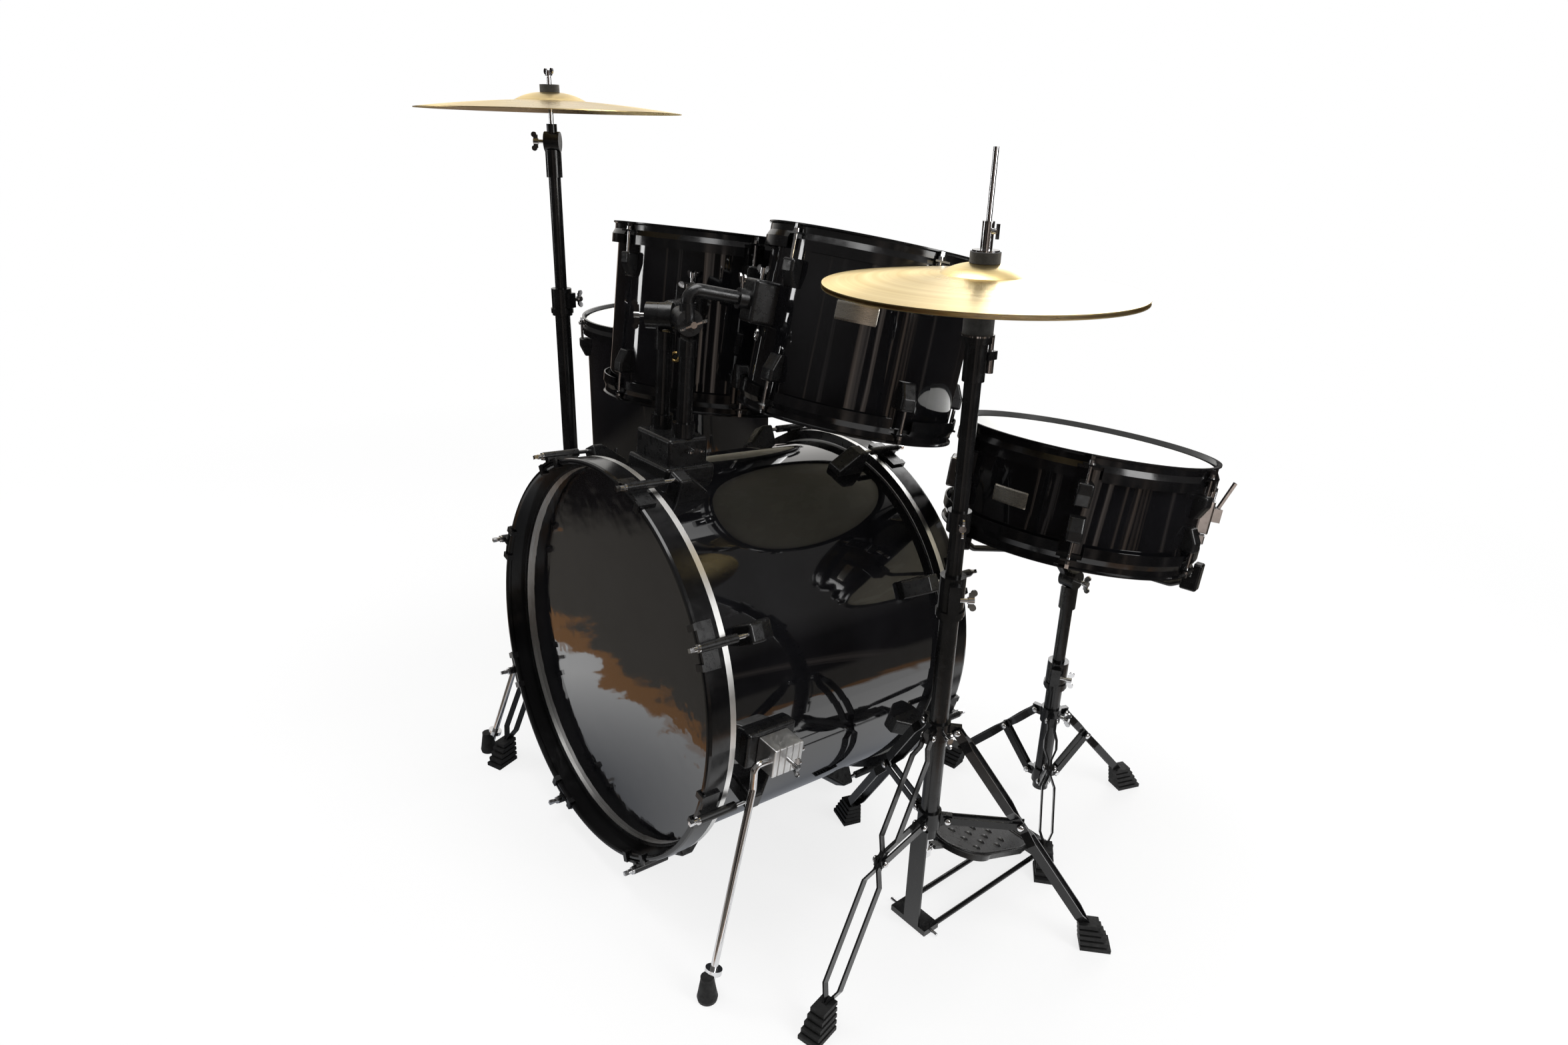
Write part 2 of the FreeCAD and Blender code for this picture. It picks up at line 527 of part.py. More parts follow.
# ---------------------------------------------------------------- floor tom
def floor_tom():
    sizes = FLOOR_TOM
    place = drum("floor_tom", **sizes)
    top = sizes["centre"].z
    out = sizes["radius"] + LEG_OUT
    for index in range(3):
        degrees = LEG_FIRST + 120 * index
        mid = LEG_BRACKET_Z + LEG_BRACKET_H / 2 - top
        bracket = block(V(-LEG_BRACKET_H / 2, -20, -8), V(LEG_BRACKET_H / 2, 20, LEG_OUT + 10), 4)
        bracket = placed([bracket], on_shell(sizes["radius"], degrees, mid))[0]
        bracket = bracket.cut(cylinder(V(0, 0, -top), ORIGIN, sizes["radius"]))
        bore = cylinder(polar(out, degrees, -top), polar(out, degrees), LEG_ROD_R + SHAFT_GAP)
        bracket = bracket.cut(bore)
        bolt = placed([wing_bolt(16, 13)], frame(polar(out + 10, degrees, mid), polar(1, degrees), UP))
        add("floor_tom_lugs", [bracket] + bolt, place)
        centre = V(sizes["centre"].x, sizes["centre"].y, 0)
        foot = centre + polar(out + LEG_SPLAY, degrees, 14)
        bends = [centre + polar(out, degrees, LEG_TOP), centre + polar(out, degrees, LEG_KNEE), foot]
        leg = bent_rod(bends, LEG_ROD_R, 30)
        rubber = turned([(0, 0), (14, 0), (15, 4), (13, 14), (9, 40), (0, 40)])
        rubber.translate(V(foot.x, foot.y, 0))
        add("floor_tom_legs", [leg, rubber.cut(leg)])


# ---------------------------------------------------------------- tripods and tubes
def collar(middle, tube_r, first):
    """Collar round a tube with three ears, each bored for its leg pin."""
    ring = cylinder(V(0, 0, middle - COLLAR_HALF), V(0, 0, middle + COLLAR_HALF), tube_r + COLLAR_WALL)
    ear = block(V(tube_r + 1, -EAR_HALF, middle - 8), V(EAR_OUT + 6, EAR_HALF, middle + 8))
    pin = cylinder(V(EAR_OUT, -20, middle), V(EAR_OUT, 20, middle), PIN_R + SHAFT_GAP)
    body = fused([ring] + ring_of([ear], 3, first))
    for cutter in ring_of([pin], 3, first):
        body = body.cut(cutter)
    return body.cut(cylinder(V(0, 0, middle - 20), V(0, 0, middle + 20), tube_r))


def strap(length, knee, spread):
    """One flat strap of a leg: pinched at its knee and foot, spread between them."""
    inner = [(-3.5, EAR_HALF + 0.2), (16, EAR_HALF + 0.2), (30, spread), (knee - 30, spread),
             (knee - 12, 1), (knee + 12, 1), (knee + 30, spread), (length - 34, spread),
             (length - 16, 1), (length, 1)]
    outline = [V(s, t, 0) for s, t in inner] + [V(s, t + STRAP, 0) for s, t in reversed(inner)]
    solid = prism(outline, STRAP_H)
    solid.translate(V(0, 0, -STRAP_H / 2))
    return solid


def tripod(node, foot_node, centre, tube_r, foot_r, first, collar_z, brace_z, knee_share, spread):
    """Collars, three double-strap legs, three braces and three stepped rubber feet."""
    start = V(EAR_OUT, 0, collar_z)
    end = V(foot_r, 0, FOOT_H * 0.62)
    way = unit(end - start)
    length = (end - start).Length
    along = frame(start, way.cross(V(0, 1, 0)), way)
    knee = length * knee_share
    knee_at = start + way * knee
    one = strap(length, knee, spread)
    two = one.mirror(ORIGIN, V(0, 1, 0))
    pins = [cylinder(V(s, -8, 0), V(s, 8, 0), PIN_R) for s in (0, knee, length - 8)]
    leg = placed([fused([one, two] + pins)], along)[0]

    low = V(EAR_OUT, 0, brace_z)
    span = (knee_at - low).Length
    brace_way = unit(knee_at - low)
    brace_frame = frame(low, brace_way.cross(V(0, 1, 0)), brace_way)
    bars = []
    for side in (-1, 1):
        bar = block(V(-6, side * 5.3 - 1.1, -5.5), V(span + 6, side * 5.3 + 1.1, 5.5))
        bars.append(bar.cut(cylinder(V(span, -20, 0), V(span, 20, 0), PIN_R + SHAFT_GAP)))
    brace = placed([fused(bars + [cylinder(V(0, -8, 0), V(0, 8, 0), PIN_R)])], brace_frame)[0]

    slope = way.x / -way.z
    steps = []
    for index in range(5):
        z = index * 8.6
        half_x, half_y = 21 - index * 1.6, 15 - index * 1.1
        mid = foot_r + (FOOT_H * 0.62 - z) * slope * 0.5
        low, high = V(mid - half_x, -half_y, z), V(mid + half_x, half_y, z + 6.2)
        steps.append(block(low, high))
        if index:
            steps.append(block(low + V(4, 2.5, -3), V(high.x - 2, high.y - 2.5, z + 1)))
    rubber = fused(steps).cut(leg)

    place = FreeCAD.Placement(centre, FreeCAD.Rotation())
    add(node, [collar(z, tube_r, first) for z in (collar_z, brace_z)], place)
    facing = first + 60
    cheek = polar(tube_r + COLLAR_WALL, facing, collar_z)
    bolt = placed([wing_bolt(16, 12)], frame(cheek, polar(1, facing), UP))
    add(node, ring_of([leg, brace], 3, first) + bolt, place)
    add(foot_node, ring_of([rubber], 3, first), place)


def height_clamp(low, high, lower_r, upper_r, facing):
    """Casting on the lower tube's mouth that grips the upper tube, with its wing bolt."""
    jaw = block(V(0, -7, low + 14), V(lower_r + 12, 7, high - 6))
    jaw.rotate(ORIGIN, UP, facing)
    body = fused([cylinder(V(0, 0, low), V(0, 0, high), lower_r + 4),
                  cylinder(V(0, 0, low + 4), V(0, 0, low + 12), lower_r + 6), jaw])
    body = body.cut(cylinder(V(0, 0, low - 1), V(0, 0, high + 1), upper_r + SLIDE_GAP))
    body = body.cut(cylinder(V(0, 0, low - 1), V(0, 0, low + 16), lower_r))
    side = polar(1, facing + 90)
    cheek = polar(lower_r + 7, facing, (low + high) / 2 + 4) + side * 7
    return [body] + placed([wing_bolt(18, 14)], frame(cheek, side, UP))


def memory_lock(low, high, tube_r, facing):
    ring = sleeve(V(0, 0, low), V(0, 0, high), tube_r + 4.5, tube_r)
    cheek = polar(tube_r + 4.5, facing, (low + high) / 2)
    return [ring] + placed([wing_bolt(16, 12)], frame(cheek, polar(1, facing), UP))


def cymbal(radius):
    """Bowed disc with a bell; the rim's underside lies at local z = 0."""
    bell_r = radius * 0.27

    def skin(lift):
        hole = V(CYMBAL_HOLE, 0, CYMBAL_BOW + CYMBAL_BELL + lift)
        dome = V(bell_r * 0.62, 0, CYMBAL_BOW + CYMBAL_BELL * 0.74 + lift)
        foot = V(bell_r, 0, CYMBAL_BOW + lift)
        bow = V((radius + bell_r) / 2, 0, CYMBAL_BOW * 0.6 + lift)
        rim = V(radius, 0, lift)
        return [Part.Arc(hole, dome, foot).toShape(), Part.Arc(foot, bow, rim).toShape()], hole, rim

    over, over_hole, over_rim = skin(CYMBAL_STEEL)
    under, under_hole, under_rim = skin(0)
    ends = [Part.LineSegment(over_rim, under_rim).toShape(),
            Part.LineSegment(under_hole, over_hole).toShape()]
    edges = Part.__sortEdges__(over + under + ends)
    return Part.Face(Part.Wire(edges)).revolve(ORIGIN, UP, 360)


# ---------------------------------------------------------------- hi-hat
def hi_hat():
    place = FreeCAD.Placement(HAT, FreeCAD.Rotation())
    lower_end, upper_end = V(0, 0, HAT_BRACE - 30), V(0, 0, HAT_TUBE_TOP + 12)
    add("hihat_tube", [sleeve(lower_end, upper_end, TUBE_R, HAT_INNER_R + SLIDE_GAP)], place)
    add("hihat_tube", height_clamp(HAT_TUBE_TOP - 4, HAT_TUBE_TOP + 54, TUBE_R, HAT_INNER_R, -40), place)
    tripod("hihat_legs", "hihat_feet", HAT, TUBE_R, HAT_FOOT_R, HAT_FIRST, HAT_COLLAR, HAT_BRACE,
           HAT_KNEE, 10)

    bell_low = HAT_RIM - CYMBAL_BOW - CYMBAL_BELL - CYMBAL_STEEL
    guide = HAT_ROD_R + SLIDE_GAP
    top = V(0, 0, bell_low - 46)
    inner = sleeve(V(0, 0, HAT_TUBE_TOP - 120), top, HAT_INNER_R, HAT_INNER_R - TUBE_WALL)
    lock = memory_lock(614, 640, HAT_INNER_R, -40)
    seat = fused([cylinder(V(0, 0, bell_low - 74), V(0, 0, bell_low - 22), HAT_INNER_R + 3),
                  cylinder(V(0, 0, bell_low - 30), V(0, 0, bell_low - 22), 17),
                  block(V(0, 8, bell_low - 50), V(12, 24, bell_low - 40))])
    seat = seat.cut(cylinder(V(0, 0, bell_low - 80), V(0, 0, bell_low), guide))
    seat = seat.cut(cylinder(V(0, 0, bell_low - 80), top, HAT_INNER_R))
    screw = cylinder(V(6, 19, bell_low - 40), V(6, 19, bell_low - 22), 3)
    knob = cylinder(V(6, 19, bell_low - 66), V(6, 19, bell_low - 50), 5)
    washer = sleeve(V(0, 0, bell_low - 22), V(0, 0, bell_low - 20), 19, guide)
    lower = cymbal(HAT_R).mirror(ORIGIN, UP)
    lower.translate(V(0, 0, HAT_RIM))
    felt = sleeve(V(0, 0, bell_low - 20), V(0, 0, bell_low), 17.5, guide).cut(lower)
    add("hihat_upper", [inner] + lock + [seat, screw, knob, washer, felt], place)
    add("hihat_bottom_cymbal", [lower], place)
    upper = cymbal(HAT_R)
    rim = HAT_RIM + HAT_OPEN
    upper.translate(V(0, 0, rim))
    add("hihat_top_cymbal", [upper], place)
    bell = rim + CYMBAL_BOW + CYMBAL_BELL + CYMBAL_STEEL
    pad = sleeve(V(0, 0, bell), V(0, 0, bell + 12), 17, HAT_ROD_R).cut(upper)
    disc = sleeve(V(0, 0, bell + 12), V(0, 0, bell + 14), 15, HAT_ROD_R)
    clutch = sleeve(V(0, 0, bell + 14), V(0, 0, bell + 44), 6.6, HAT_ROD_R)
    clip = fused([cylinder(V(6, 0, bell + 34), V(13, 0, bell + 34), 3),
                  block(V(12, -1.3, bell + 26), V(15, 1.3, bell + 42))])
    clip = clip.cut(cylinder(V(0, 0, bell), V(0, 0, bell + 60), 6.6))
    shoulder = V(0, 0, bell + 44 + HAT_SHOULDER)
    rod = fused([cylinder(V(0, 0, HAT_ROD_LOW), shoulder, HAT_ROD_R),
                 cylinder(shoulder, shoulder + V(0, 0, HAT_ROD_FREE), HAT_ROD_END_R)])
    link = block(V(-5, -5, HAT_ROD_LOW - 12), V(5, 5, HAT_ROD_LOW))
    add("hihat_rod", [pad, disc, clutch, clip, rod, link], place)


def pedal():
    """Folded upright, base bracket, two frame rods, heel plate and the footboard on its hinge."""
    front = HAT.y - TUBE_R
    upright = block(V(HAT.x - 16, front - 3, 9), V(HAT.x + 12, front, HAT_BRACE - 14))
    bracket = block(V(PEDAL_X - PEDAL_HALF, front - 3, 0), V(PEDAL_X + PEDAL_HALF, front + 26, 9))
    heel = PEDAL_HEEL
    rods = []
    for side in (-1, 1):
        x = PEDAL_X + side * (PEDAL_HALF - 5)
        rods.append(cylinder(V(x, front + 26, 5), V(x, heel.y - 8, 5), 3.8))
        rods.append(cylinder(V(PEDAL_X + side * PEDAL_HALF, front + 10, 5),
                             V(PEDAL_X + side * (PEDAL_HALF + 12), front + 10, 5), 2.5))
    plate = block(V(PEDAL_X - PEDAL_HALF, heel.y - 8, 0), V(PEDAL_X + PEDAL_HALF, heel.y + 34, 8), 2)
    ears = []
    for side in (-1, 1):
        x = PEDAL_X + side * 28
        ears.append(block(V(x - 3, heel.y - 7, 6), V(x + 3, heel.y + 7, heel.z + 7)))
    pin = cylinder(V(PEDAL_X - 34, heel.y, heel.z), V(PEDAL_X + 34, heel.y, heel.z), 3)
    stand = fused([plate] + ears + [pin])
    add("pedal_frame", [upright, bracket, stand] + rods)

    run = heel - PEDAL_TOE
    length = run.Length
    up = V(1, 0, 0).cross(unit(run)) * -1
    here = frame(heel, up if up.z > 0 else up * -1, run * -1)
    sides = [(0, 22), (30, 27), (78, 42), (168, 45)]
    edges = []
    right = [V(u, w, 0) for u, w in sides]
    left = [V(u, -w, 0) for u, w in sides]
    for line in (right, left):
        edges += [Part.LineSegment(a, b).toShape() for a, b in zip(line, line[1:])]
    edges.append(Part.Arc(right[-1], V(length - 14, 0, 0), left[-1]).toShape())
    edges.append(Part.LineSegment(left[0], right[0]).toShape())
    face = Part.Face(Part.Wire(Part.__sortEdges__(edges)))
    board = face.extrude(V(0, 0, 8))
    board.translate(V(0, 0, 2))
    knuckle = cylinder(V(0, -24.7, 0), V(0, 24.7, 0), 7)
    tab = block(V(length - 34, -7, 2), V(length + 8, 7, 7))
    bumps = []
    for row, (u, count) in enumerate(((95, 2), (122, 3), (149, 2), (176, 3))):
        for index in range(count):
            w = (index - (count - 1) / 2) * 24
            bumps.append(Part.makeSphere(9, V(u, w, 10 - 6.2)))
    body = fused([board, knuckle, tab] + bumps)
    body = body.cut(cylinder(V(0, -40, 0), V(0, 40, 0), 3 + SHAFT_GAP))
    add("pedal_footboard", [body], here)


# ---------------------------------------------------------------- crash
def crash():
    place = FreeCAD.Placement(CRASH, FreeCAD.Rotation())
    lower_end, upper_end = V(0, 0, CRASH_BRACE - 30), V(0, 0, CRASH_TUBE_TOP + 12)
    add("crash_tube", [sleeve(lower_end, upper_end, TUBE_R, CRASH_INNER_R + SLIDE_GAP)], place)
    clamp = height_clamp(CRASH_TUBE_TOP - 4, CRASH_TUBE_TOP + 40, TUBE_R, CRASH_INNER_R, 20)
    add("crash_tube", clamp, place)
    tripod("crash_legs", "crash_feet", CRASH, TUBE_R, CRASH_FOOT_R, CRASH_FIRST, CRASH_COLLAR, CRASH_BRACE,
           HAT_KNEE, 10)
    axis = unit(CRASH_AXIS)
    hinge = V(0, 0, CRASH_HINGE)
    top = V(0, 0, CRASH_INNER_TOP)
    inner = sleeve(V(0, 0, CRASH_TUBE_TOP - 170), top, CRASH_INNER_R, CRASH_INNER_R - TUBE_WALL)
    cap = cylinder(V(0, 0, CRASH_INNER_TOP - 20), V(0, 0, CRASH_HINGE - 12), CRASH_INNER_R + 3)
    cap = cap.cut(cylinder(V(0, 0, CRASH_INNER_TOP - 21), top, CRASH_INNER_R))
    ear = cylinder(hinge - axis * 12, hinge - axis * (SLIDE_GAP / 2), 15)
    neck = cylinder(V(0, 0, CRASH_HINGE - 14), V(0, 0, CRASH_HINGE - 4), 10)
    clear = cylinder(hinge - axis * (SLIDE_GAP / 2), hinge + axis * 40, 16)
    fixed = fused([cap, ear, neck]).cut(clear)
    screw = placed([wing_bolt(18, 14)], frame(hinge - axis * 12, axis * -1, UP))
    add("crash_upper", [inner, fixed] + screw, place)

    moving = cylinder(hinge + axis * (SLIDE_GAP / 2), hinge + axis * 12, 15)
    stem = cylinder(hinge, hinge + V(0, 0, 26), 8)
    stem = stem.cut(cylinder(hinge + axis * (SLIDE_GAP / 2), hinge - axis * 40, 15.3))
    tilter = fused([moving, stem])
    rod = cylinder(V(0, 0, CRASH_HINGE + 17), V(0, 0, CRASH_RIM + 49), 3.5)
    add("crash_tilter", [tilter.cut(rod)], place)
    under = CRASH_RIM + CYMBAL_BOW + CYMBAL_BELL
    seat = sleeve(V(0, 0, under - 22), V(0, 0, under - 10), 12, 3.5)
    low_felt = sleeve(V(0, 0, under - 10), V(0, 0, under - 0.3), 13, 3.5)
    over = under + CYMBAL_STEEL
    high_felt = sleeve(V(0, 0, over + 0.3), V(0, 0, over + 11), 15, 3.5)
    nut = wing_bolt(20, 14)
    nut.translate(V(0, 0, over + 11))
    nut = nut.cut(rod)
    add("crash_tilter", [rod, seat, low_felt, high_felt, nut], place)
    disc = cymbal(CRASH_R)
    disc.translate(V(0, 0, CRASH_RIM))
    add("crash_cymbal", [disc], place)


# ---------------------------------------------------------------- snare and its stand
def snare():
    place = drum("snare", **SNARE)
    radius, depth = SNARE["radius"], SNARE["depth"]
    low = -RIM_RISE - depth
    here = place.multiply(FreeCAD.Placement(ORIGIN, FreeCAD.Rotation(UP, SNARE_WIRE_WAY)))
    wires = []
    for index in range(16):
        y = (index - 7.5) * 2.6
        wires.append(cylinder(V(-158, y, low - FILM - 1.2), V(158, y, low - FILM - 1.2), 0.8))
    for side in (-1, 1):
        x = side * 164
        wires.append(block(V(x - 6, -24, low - FILM - 2.2), V(x + 6, 24, low - FILM - 0.4)))
    add("snare_wires", [fused(wires)], here)

    housing = block(V(radius - 6, -15, -106), V(radius + 16, 15, -54), 3)
    jaw = block(V(radius + 4, -12, -122), V(radius + 14, 12, -107), 2)
    knob = cylinder(V(radius + 8, 0, -54), V(radius + 8, 0, -38), 8)
    butt = block(V(-radius - 12, -20, -112), V(-radius + 6, 20, -66), 3)
    barrel = cylinder(V(0, 0, low), ORIGIN, radius)
    pieces = [piece.cut(barrel) for piece in (housing, butt)]
    stem = cylinder(V(radius + 8, 0, -107), V(radius + 8, 0, -106), 3)
    cheeks = []
    for side in (-1, 1):
        cheeks.append(block(V(radius + 14, side * 9 - 1.5, -86), V(radius + 28, side * 9 + 1.5, -66)))
    pieces[0] = fused([pieces[0]] + cheeks)
    pin = cylinder(V(radius + 23, -10.5, -74), V(radius + 23, 10.5, -74), 2.2)
    pieces[0] = pieces[0].cut(cylinder(V(radius + 23, -20, -74), V(radius + 23, 20, -74), 2.2 + SHAFT_GAP))
    add("snare_strainer", pieces + [jaw, knob, stem], here)
    lever = block(V(radius + 20.5, -6.5, -80), V(radius + 25.5, 6.5, -66))
    side_view = [V(radius + 20.5, -68, 0), V(radius + 24, -68, 0),
                 V(radius + 38, -26, 0), V(radius + 34.5, -25, 0)]
    grip = prism(side_view, 11)
    grip.translate(V(0, 0, -5.5))
    grip.rotate(ORIGIN, V(1, 0, 0), 90)
    add("snare_lever", [fused([lever, grip, pin])], here)
    return place


def snare_stand(place):
    here = FreeCAD.Placement(STAND, FreeCAD.Rotation())
    lower_end, upper_end = V(0, 0, STAND_BRACE - 26), V(0, 0, STAND_TUBE_TOP + 12)
    add("snare_stand_tube", [sleeve(lower_end, upper_end, TUBE_R, STAND_INNER_R + SLIDE_GAP)], here)
    clamp = height_clamp(STAND_TUBE_TOP - 4, STAND_TUBE_TOP + 46, TUBE_R, STAND_INNER_R, -60)
    add("snare_stand_tube", clamp, here)
    tripod("snare_stand_legs", "snare_stand_feet", STAND, TUBE_R, STAND_FOOT_R, STAND_FIRST, STAND_COLLAR,
           STAND_BRACE, STAND_KNEE, 8)
    hinge = V(0, 0, STAND_HINGE)
    axis = V(1, 0, 0)
    top = V(0, 0, STAND_HINGE - 30)
    inner = sleeve(V(0, 0, STAND_BRACE + 40), top, STAND_INNER_R, STAND_INNER_R - TUBE_WALL)
    cap = cylinder(V(0, 0, STAND_HINGE - 50), V(0, 0, STAND_HINGE - 12), STAND_INNER_R + 3.5)
    cap = cap.cut(cylinder(V(0, 0, STAND_HINGE - 51), top, STAND_INNER_R))
    ear = cylinder(hinge + axis * (SLIDE_GAP / 2), hinge + axis * 13, 15)
    neck = cylinder(V(0, 0, STAND_HINGE - 14), V(0, 0, STAND_HINGE - 4), 10)
    clear = cylinder(hinge + axis * (SLIDE_GAP / 2), hinge - axis * 40, 17)
    fixed = fused([cap, ear, neck]).cut(clear)
    screw = placed([wing_bolt(18, 14)], frame(hinge + axis * 13, axis, UP))
    add("snare_stand_upper", [inner, fixed] + screw, here)

    radius, depth = SNARE["radius"], SNARE["depth"]
    rim = -2 * RIM_RISE - depth
    plane = rim - BASKET_DROP
    hub_low = place.multVec(V(0, 0, plane - 16))
    at = STAND + hinge
    moving = cylinder(at - axis * (SLIDE_GAP / 2), at - axis * 13, 15)
    link = cylinder(at - axis * 7, hub_low, 6.5)
    hub = placed([cylinder(V(0, 0, plane - 16), V(0, 0, plane + 8), 15)], place)[0]
    basket = fused([moving, link, hub])
    basket = basket.cut(cylinder(at - axis * (SLIDE_GAP / 2), at + axis * 30, 17))
    arms = []
    tips = []
    for index in range(3):
        degrees = BASKET_FIRST + 120 * index
        reach = radius + 13
        path = [polar(15, degrees, plane), polar(reach - 26, degrees, plane),
                polar(reach, degrees, rim - 5)]
        arm = bent_rod(path, 4.5, 12)
        tip = block(V(reach - 12, -GRIP_HALF, rim - 20), V(reach + 11, GRIP_HALF, rim + 20), 3)
        tip = tip.cut(block(V(reach - 13, -GRIP_HALF - 1, rim), V(reach + 0.3, GRIP_HALF + 1, rim + 21)))
        tip.rotate(ORIGIN, UP, degrees)
        arms.append(arm)
        tips.append(tip.cut(arm))
    socket = cylinder(V(0, 0, plane - 30), V(0, 0, plane + 20), 15)
    add("snare_basket", [basket])
    add("snare_basket", [arm.cut(socket) for arm in arms], place)
    add("snare_basket", tips, place)


# ---------------------------------------------------------------- the kit
def build():
    bass_drum()
    spurs()
    tom_mount()
    rack_tom("high", HIGH_TOM, 1)
    rack_tom("mid", MID_TOM, -1)
    floor_tom()
    hi_hat()
    pedal()
    crash()
    snare_stand(snare())


build()
WHOLE = Part.makeCompound([shape for shapes in NODES.values() for shape in shapes]).BoundBox
SHIFT = V(-WHOLE.Center.x, -WHOLE.Center.y, -WHOLE.ZMin)

os.makedirs("parts", exist_ok=True)
for node, shapes in NODES.items():
    group = Part.makeCompound(placed(shapes, FreeCAD.Placement(SHIFT, FreeCAD.Rotation())))
    group.exportStep("parts/%s.step" % node)
print(len(NODES), "nodes, size %.1f x %.1f x %.1f mm" % (WHOLE.XLength, WHOLE.YLength, WHOLE.ZLength))
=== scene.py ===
"""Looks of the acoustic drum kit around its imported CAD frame.

Everything is in metres in the row frame: +X is the audience's right, +Y is towards the drummer.
"""
import json
import math

import bmesh
import bpy
import numpy as np
from mathutils import Matrix, Vector


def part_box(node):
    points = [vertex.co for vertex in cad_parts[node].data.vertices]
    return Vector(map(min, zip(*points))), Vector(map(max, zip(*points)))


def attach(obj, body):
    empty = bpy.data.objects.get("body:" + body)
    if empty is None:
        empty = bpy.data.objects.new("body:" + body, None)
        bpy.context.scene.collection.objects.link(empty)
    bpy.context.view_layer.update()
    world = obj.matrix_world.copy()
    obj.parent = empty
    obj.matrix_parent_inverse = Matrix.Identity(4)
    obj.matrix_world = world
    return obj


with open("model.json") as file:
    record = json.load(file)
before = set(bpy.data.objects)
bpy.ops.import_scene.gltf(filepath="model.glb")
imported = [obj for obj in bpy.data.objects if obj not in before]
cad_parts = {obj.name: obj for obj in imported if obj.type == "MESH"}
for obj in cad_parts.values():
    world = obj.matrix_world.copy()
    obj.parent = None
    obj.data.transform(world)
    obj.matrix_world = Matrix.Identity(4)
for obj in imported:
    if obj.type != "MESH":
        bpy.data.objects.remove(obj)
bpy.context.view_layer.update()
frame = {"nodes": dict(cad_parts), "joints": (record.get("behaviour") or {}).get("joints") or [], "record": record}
NODES = frame["nodes"]
BODY = {node: body for body, nodes in frame["record"]["behaviour"]["bodies"].items() for node in nodes}
JOINTS = {joint["name"]: joint for joint in frame["joints"]}


def middle(node):
    low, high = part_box(node)
    return (low + high) / 2


HUB = middle("bass_shell")                 # middle of the bass drum
HAT = middle("hihat_top_cymbal")
CRASH = middle("crash_cymbal")

# ---------------------------------------------------------------- camera
EYE = HUB + Vector((1.1257, -0.8208, 0.7378))
RIGHT = Vector((0.631, 0.775, 0.026)).normalized()
AHEAD = Vector((-0.714, 0.594, -0.372)).normalized()
SENSOR = 36.0
FOCAL = 1450.9                             # focal length, in the unit of the next value
IMAGE_WIDTH = 2352
LENS = SENSOR * FOCAL / IMAGE_WIDTH

camera_data = bpy.data.cameras.new("camera")
camera_data.sensor_width = SENSOR
camera_data.lens = LENS
camera = bpy.data.objects.new("camera", camera_data)
bpy.context.scene.collection.objects.link(camera)
across = (RIGHT - AHEAD * RIGHT.dot(AHEAD)).normalized()
camera.matrix_world = Matrix((
    (across.x, across.cross(AHEAD).x, -AHEAD.x, EYE.x),
    (across.y, across.cross(AHEAD).y, -AHEAD.y, EYE.y),
    (across.z, across.cross(AHEAD).z, -AHEAD.z, EYE.z),
    (0, 0, 0, 1)))
camera_data.clip_start = 0.02
camera_data.clip_end = 60
bpy.context.scene.camera = camera
bpy.context.scene.view_settings.view_transform = "Standard"


# ---------------------------------------------------------------- node helpers
class Tree:
    """A material's node tree, with short calls for the nodes that the looks are made of."""

    def __init__(self, name):
        self.material = bpy.data.materials.new(name)
        self.material.use_nodes = True
        self.tree = self.material.node_tree
        self.tree.nodes.clear()
        self.out = self.node("ShaderNodeOutputMaterial")
        self.place = self.node("ShaderNodeTexCoord").outputs["Object"]

    def node(self, kind, **values):
        made = self.tree.nodes.new(kind)
        for key, value in values.items():
            setattr(made, key, value)
        return made

    def link(self, source, socket):
        if hasattr(source, "is_output"):
            self.tree.links.new(source, socket)
        else:
            socket.default_value = source

    def math(self, operation, first, second=0.0):
        made = self.node("ShaderNodeMath", operation=operation)
        self.link(first, made.inputs[0])
        self.link(second, made.inputs[1])
        return made.outputs[0]

    def vector(self, operation, first, second=(0, 0, 0)):
        made = self.node("ShaderNodeVectorMath", operation=operation)
        self.link(first, made.inputs[0])
        self.link(second, made.inputs[1])
        return made.outputs["Value" if operation in ("LENGTH", "DOT_PRODUCT") else "Vector"]

    def noise(self, place, scale, detail=2.0, roughness=0.5, dimensions="3D"):
        made = self.node("ShaderNodeTexNoise", noise_dimensions=dimensions)
        self.link(place, made.inputs["W" if dimensions == "1D" else "Vector"])
        made.inputs["Scale"].default_value = scale
        made.inputs["Detail"].default_value = detail
        made.inputs["Roughness"].default_value = roughness
        return made.outputs["Fac"]

    def span(self, value, low, high, start=0.3, end=0.7):
        made = self.node("ShaderNodeMapRange")
        self.link(value, made.inputs["Value"])
        for key, number in (("From Min", start), ("From Max", end), ("To Min", low), ("To Max", high)):
            made.inputs[key].default_value = number
        return made.outputs[0]

    def mix(self, factor, first, second):
        made = self.node("ShaderNodeMix", data_type="RGBA")
        self.link(factor, made.inputs["Factor"])
        for socket, colour in ((made.inputs[6], first), (made.inputs[7], second)):
            self.link(colour if hasattr(colour, "is_output") else (*colour, 1), socket)
        return made.outputs[2]

    def bump(self, height, depth, under=None):
        made = self.node("ShaderNodeBump")
        made.inputs["Distance"].default_value = depth
        self.link(height, made.inputs["Height"])
        if under is not None:
            self.link(under, made.inputs["Normal"])
        return made.outputs["Normal"]

    def principled(self, colour, roughness, normal, **fixed):
        made = self.node("ShaderNodeBsdfPrincipled")
        self.link(colour, made.inputs["Base Color"])
        self.link(roughness, made.inputs["Roughness"])
        self.link(normal, made.inputs["Normal"])
        for key, value in fixed.items():
            made.inputs[key.replace("_", " ")].default_value = value
        self.tree.links.new(made.outputs[0], self.out.inputs["Surface"])
        return made


